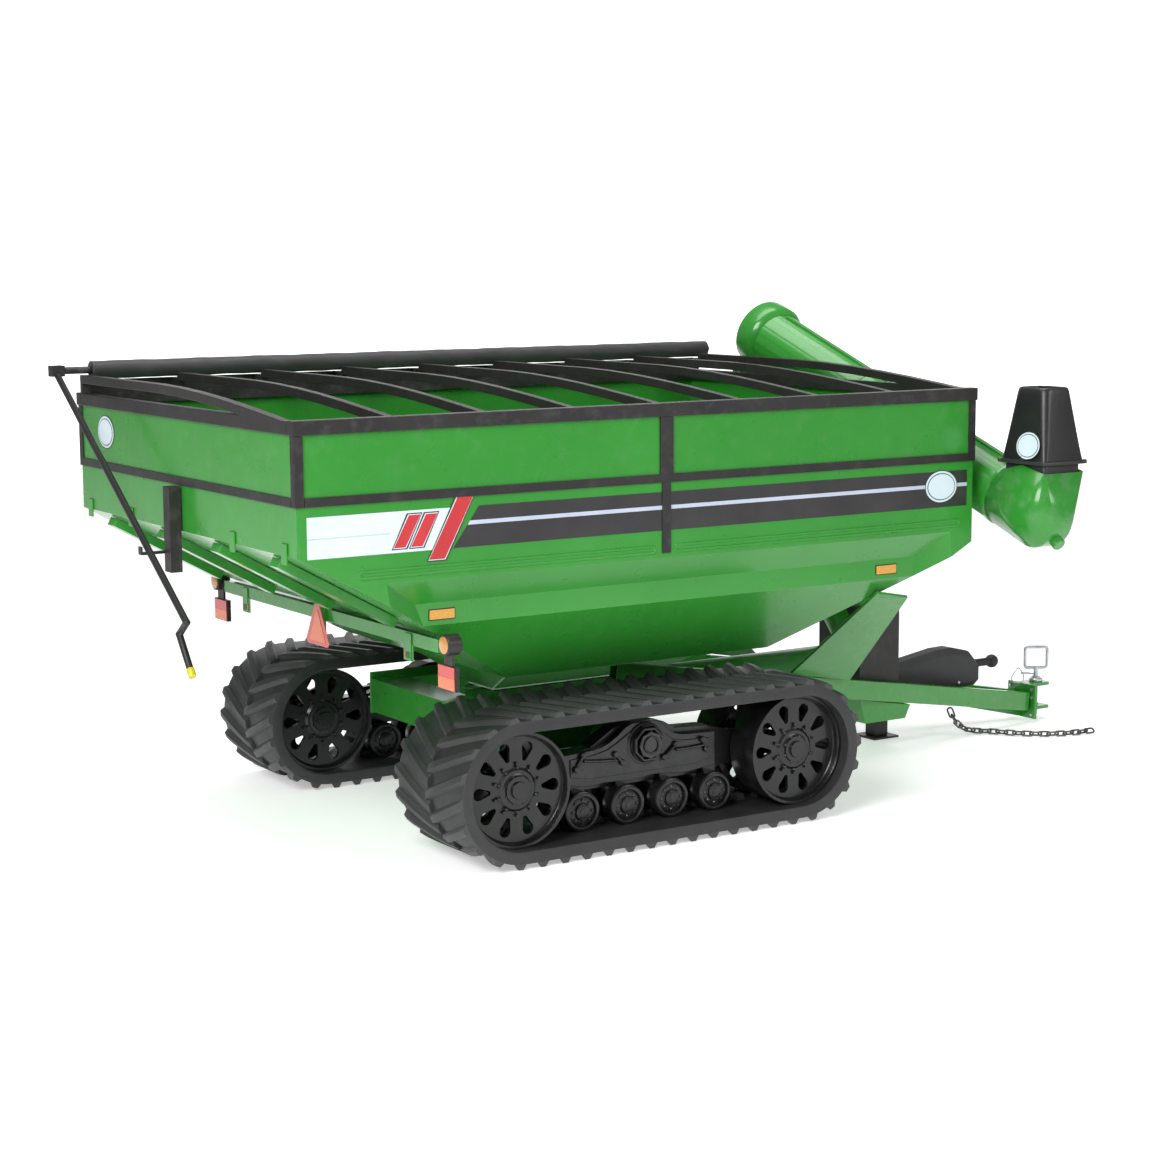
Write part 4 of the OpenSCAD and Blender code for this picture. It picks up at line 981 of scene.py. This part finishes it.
def lighting():
    black, lampb, red, orange, amber, tabs = (bmesh.new() for _ in range(6))
    for s in (-1, 1):
        a, b = sorted((s * 1902, s * 2040))
        add_box(black, (LBX - 20, a, LBZ - 45), (LBX + 20, b, LBZ + 20))
        add_lathe(black, P(LBX - 62, s * 2040, LBZ + 10), (1, 0, 0), [(0, 0), (72, 0), (80, 8), (80, 112), (72, 120), (0, 120)], seg=40)
        a, b = sorted((s * 1960, s * 2080))
        add_box(black, (LBX - 14, a, LBZ - 160), (LBX + 6, b, LBZ - 50))
        a, b = sorted((s * 1876, s * 2136))
        add_box(black, (LBX - 20, a, LBZ - 332), (LBX + 16, b, LBZ - 146))
        a, b = sorted((s * 1886, s * 2126))
        add_box(red, (LBX - 26, a, LBZ - 236), (LBX - 20.5, b, LBZ - 152))
        add_box(orange, (LBX - 26, a, LBZ - 326), (LBX - 20.5, b, LBZ - 237))
        for sx in (-1, 1):
            o = P(LBX + (-62 if sx < 0 else 58), s * 2040, LBZ + 10)
            add_lathe(lampb, o, (sx, 0, 0), [(0, 12), (30, 11), (52, 8), (64, 3), (66, -2), (0, -2)], seg=36)
        # reflectors on the folded band and on the tabs
        for x0, x1 in ((1120, 1330), (5330, 5540)):
            a, b = sorted((s * (yb + 1), s * (yb + 5)))
            add_box(black, (x0 - 7, a, 1928), (x1 + 7, b, 2012))
            a, b = sorted((s * (yb + 5.2), s * (yb + 8)))
            add_box(amber, (x0, a, 1935), (x1, b, 2005))
        a, b = sorted((s * 1372, s * 1520))
        add_box(tabs, (LBX - 34, a, LBZ - 190), (LBX - 28, b, LBZ - 60))
        a, b = sorted((s * 1395, s * 1495))
        add_box(red, (LBX - 40, a, LBZ - 172), (LBX - 34.5, b, LBZ - 118))
    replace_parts(new_obj("lamp_housings", black, "black", "root", bevel=0.004, seg=2, angle=40), "lamps", "reflectors")
    new_obj("reflector_tabs", tabs, "green", "root", bevel=0.001)
    new_obj("lamp_lenses", lampb, "amber_lamp", "root", angle=35)
    new_obj("red_plates", red, "red", "root", bevel=0.001)
    new_obj("orange_plates", orange, "orange", "root", bevel=0.001)
    new_obj("amber_plates", amber, "amber", "root", bevel=0.001)
    # triangle: red frame (the CAD plate) with an orange field
    bm = bmesh.new()
    x = LBX - 77.4
    tri = [(-142, 1512), (142, 1512), (12, 1762), (-12, 1762)]
    add_poly_prism(bm, [P(x, y, z) for y, z in tri], Vector((-0.0012, 0, 0)))
    new_obj("triangle_field", bm, "orange", "root", smooth=False)


lighting()


# ------------------------------------------------------------------ driveline cover, hitch, jack
def cover():
    bm = bmesh.new()
    prof = [(7030, 455), (8020, 455), (8080, 500), (8080, 680), (7990, 780), (7770, 832), (7600, 826), (7030, 735)]
    y0, y1 = -150, 108
    n = len(prof)
    # chamfered along both top edges
    def sec(y, k):
        return [bm.verts.new(P(x, y, z - (k if z > 600 else 0))) for x, z in prof]
    r0, r1, r2, r3 = sec(y0, 52), sec(y0 + 60, 0), sec(y1 - 60, 0), sec(y1, 52)
    for a, b in ((r0, r1), (r1, r2), (r2, r3)):
        for i in range(1, n):
            j = (i + 1) % n
            bm.faces.new((a[i], a[j], b[j], b[i]))
    bm.faces.new(r0[::-1])
    bm.faces.new(r3)
    o = new_obj("driveline_guard", bm, "cover", "root", bevel=0.012, seg=3, angle=20)
    s = o.modifiers.new("wall", "SOLIDIFY")
    s.thickness = 0.006
    s.offset = -1
    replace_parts(o, "pto_cover")
    bm = bmesh.new()
    for x in (7180, 7500, 7820):
        for y in (-151, 109):
            add_lathe(bm, P(x, y, 500), (0, -1 if y < 0 else 1, 0), [(0, 0), (13, 0), (13, 8), (0, 9)], seg=6)
    new_obj("guard_bolts", bm, "zinc", "root", smooth=False)


cover()


PIN_R = 25


def hitch_bits():
    bm = bmesh.new()
    c = P(8690, -30, 520)
    pts = [c + Vector((math.cos(t) * 0.072, 0.02 * math.sin(2 * t), math.sin(t) * 0.074 - 0.062)) for t in [2 * math.pi * i / 40 for i in range(40)]]
    add_tube(bm, pts, 5, seg=10, closed=True)
    add_tube(bm, [P(8740, -30, 478), P(8850, -10, 462), P(8930, 0, 446)], 8, seg=12)
    new_obj("pin_keeper", bm, "zinc", "hitch_pin", angle=40)
    bm = bmesh.new()
    r = PIN_R
    add_lathe(bm, P(8956, 0, 45), (0, 0, 1), [(0, 0), (r - 7, 0), (r, 9), (r, 328), (62, 328.5), (66, 333), (66, 352), (60, 358), (44, 360), (42, 376),
                                              (22, 381), (22, 470), (0, 470)], seg=48)
    q = Matrix.Rotation(-32 * D, 3, "Z")
    path = []
    for cx, cz, a0 in ((84, 686, 0), (-84, 686, 90), (-84, 532, 180), (84, 532, 270)):
        for k in range(6):
            t = (a0 + 18 * k) * D
            path.append(P(8956, 0, 0) + q @ Vector(((cx + 24 * math.cos(t)) / 1000, 0, (cz + 24 * math.sin(t)) / 1000)))
    add_tube(bm, path, 15, seg=20, closed=True)
    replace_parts(new_obj("pin_with_bail", bm, "zinc", "hitch_pin", angle=35), "hitch_pin")
    # bolts on the hitch plate
    bm = bmesh.new()
    for y in (-150, 150):
        for z in (80, 250, 330):
            add_lathe(bm, P(8770, y, z), (-1, 0, 0), [(0, 0), (16, 0), (16, 12), (12, 14), (0, 14)], seg=6)
    new_obj("hitch_bolts", bm, "zinc", "root", smooth=False)


hitch_bits()


# ------------------------------------------------------------------ floor, light, camera
def stage():
    az, el, roll = -32.5177 * D, 8.0345 * D, -0.3494 * D
    away = Vector((-math.sin(az), math.cos(az), 0))
    side = Vector((math.cos(az), math.sin(az), 0))

    def sheet(name, pts, mat):
        bm = bmesh.new()
        bm.faces.new([bm.verts.new(p) for p in pts])
        me = bpy.data.meshes.new(name)
        bm.to_mesh(me)
        bm.free()
        me.materials.append(mat)
        o = bpy.data.objects.new(name, me)
        bpy.context.scene.collection.objects.link(o)

    m, nt, p = base_mat("floor_white")
    col = mixc(nt, noise(nt, 0.4, 2), (0.90, 0.90, 0.905), (0.93, 0.93, 0.935))
    nt.links.new(col, p.inputs["Base Color"])
    p.inputs["Roughness"].default_value = 0.6
    p.inputs["Specular IOR Level"].default_value = 0.1
    # painted light: the floor glows white (emission 0.42) within about 22 m of (7, 12) and fades to 0.04 beyond about
    # 31 m, a painted pool of light that keeps the floor white near the cart and dark far off
    p.inputs["Emission Color"].default_value = (1, 1, 1, 1)
    tc = nt.nodes.new("ShaderNodeTexCoord")
    vm = nt.nodes.new("ShaderNodeVectorMath")
    vm.operation = "DISTANCE"
    vm.inputs[1].default_value = (7, 12, 0)
    nt.links.new(tc.outputs["Object"], vm.inputs[0])
    nt.links.new(ramp(nt, mathn(nt, "DIVIDE", vm.outputs["Value"], 60), [(0.36, (0.42, 0.42, 0.42)), (0.52, (0.04, 0.04, 0.04))]), p.inputs["Emission Strength"])
    z = -0.001
    sheet("floor", [Vector((x, y, z)) for x, y in ((-90, -90), (90, -90), (90, 90), (-90, 90))], m)
    m2, nt, p = base_mat("backdrop_white")
    nt.links.new(mixc(nt, noise(nt, 0.2, 2), (0.90, 0.90, 0.90), (0.92, 0.92, 0.92)), p.inputs["Base Color"])
    p.inputs["Roughness"].default_value = 0.8
    p.inputs["Emission Color"].default_value = (1, 1, 1, 1)
    p.inputs["Emission Strength"].default_value = 0.85
    c = away * 32
    sheet("backdrop", [c - side * 22, c + side * 22, c + side * 22 + Vector((0, 0, 16)), c - side * 22 + Vector((0, 0, 16))], m2)
    w = bpy.data.worlds.new("studio")
    bpy.context.scene.world = w
    w.use_nodes = True
    bg = w.node_tree.nodes["Background"]
    bg.inputs[0].default_value = (1, 1, 1, 1)
    bg.inputs[1].default_value = 0.28

    def area(name, loc, look, size, power):
        l = bpy.data.lights.new(name, "AREA")
        l.shape = "RECTANGLE"
        l.size, l.size_y = size
        l.energy = power
        ob = bpy.data.objects.new(name, l)
        bpy.context.scene.collection.objects.link(ob)
        ob.location = loc
        ob.rotation_euler = (Vector(look) - Vector(loc)).to_track_quat("-Z", "Y").to_euler()
        return ob
    area("key", (-14, -9, 11), (-0.5, 0, 1.5), (8, 8), 2550)
    area("fill", (7, -15, 9), (0, 0, 1.5), (7, 5), 700)
    area("top", (0, 1, 14), (0, 0, 1), (12, 8), 1350)

    cam = bpy.data.cameras.new("camera")
    cam.sensor_width = 36
    cam.lens = 2372.22 / 1160 * 36
    cam.clip_end = 400
    ob = bpy.data.objects.new("camera", cam)
    bpy.context.scene.collection.objects.link(ob)
    back = Vector((math.sin(az) * math.cos(el), -math.cos(az) * math.cos(el), math.sin(el)))
    right = Vector((math.cos(az), math.sin(az), 0))
    up = back.cross(right)
    r2 = right * math.cos(roll) + up * math.sin(roll)
    u2 = up * math.cos(roll) - right * math.sin(roll)
    m = Matrix((r2, u2, back)).transposed().to_4x4()
    m.translation = P(-7165.44, -16962.11, 4643.98)
    ob.matrix_world = m
    bpy.context.scene.camera = ob
    sc = bpy.context.scene
    sc.view_settings.view_transform = "Standard"
    sc.view_settings.look = "None"


stage()
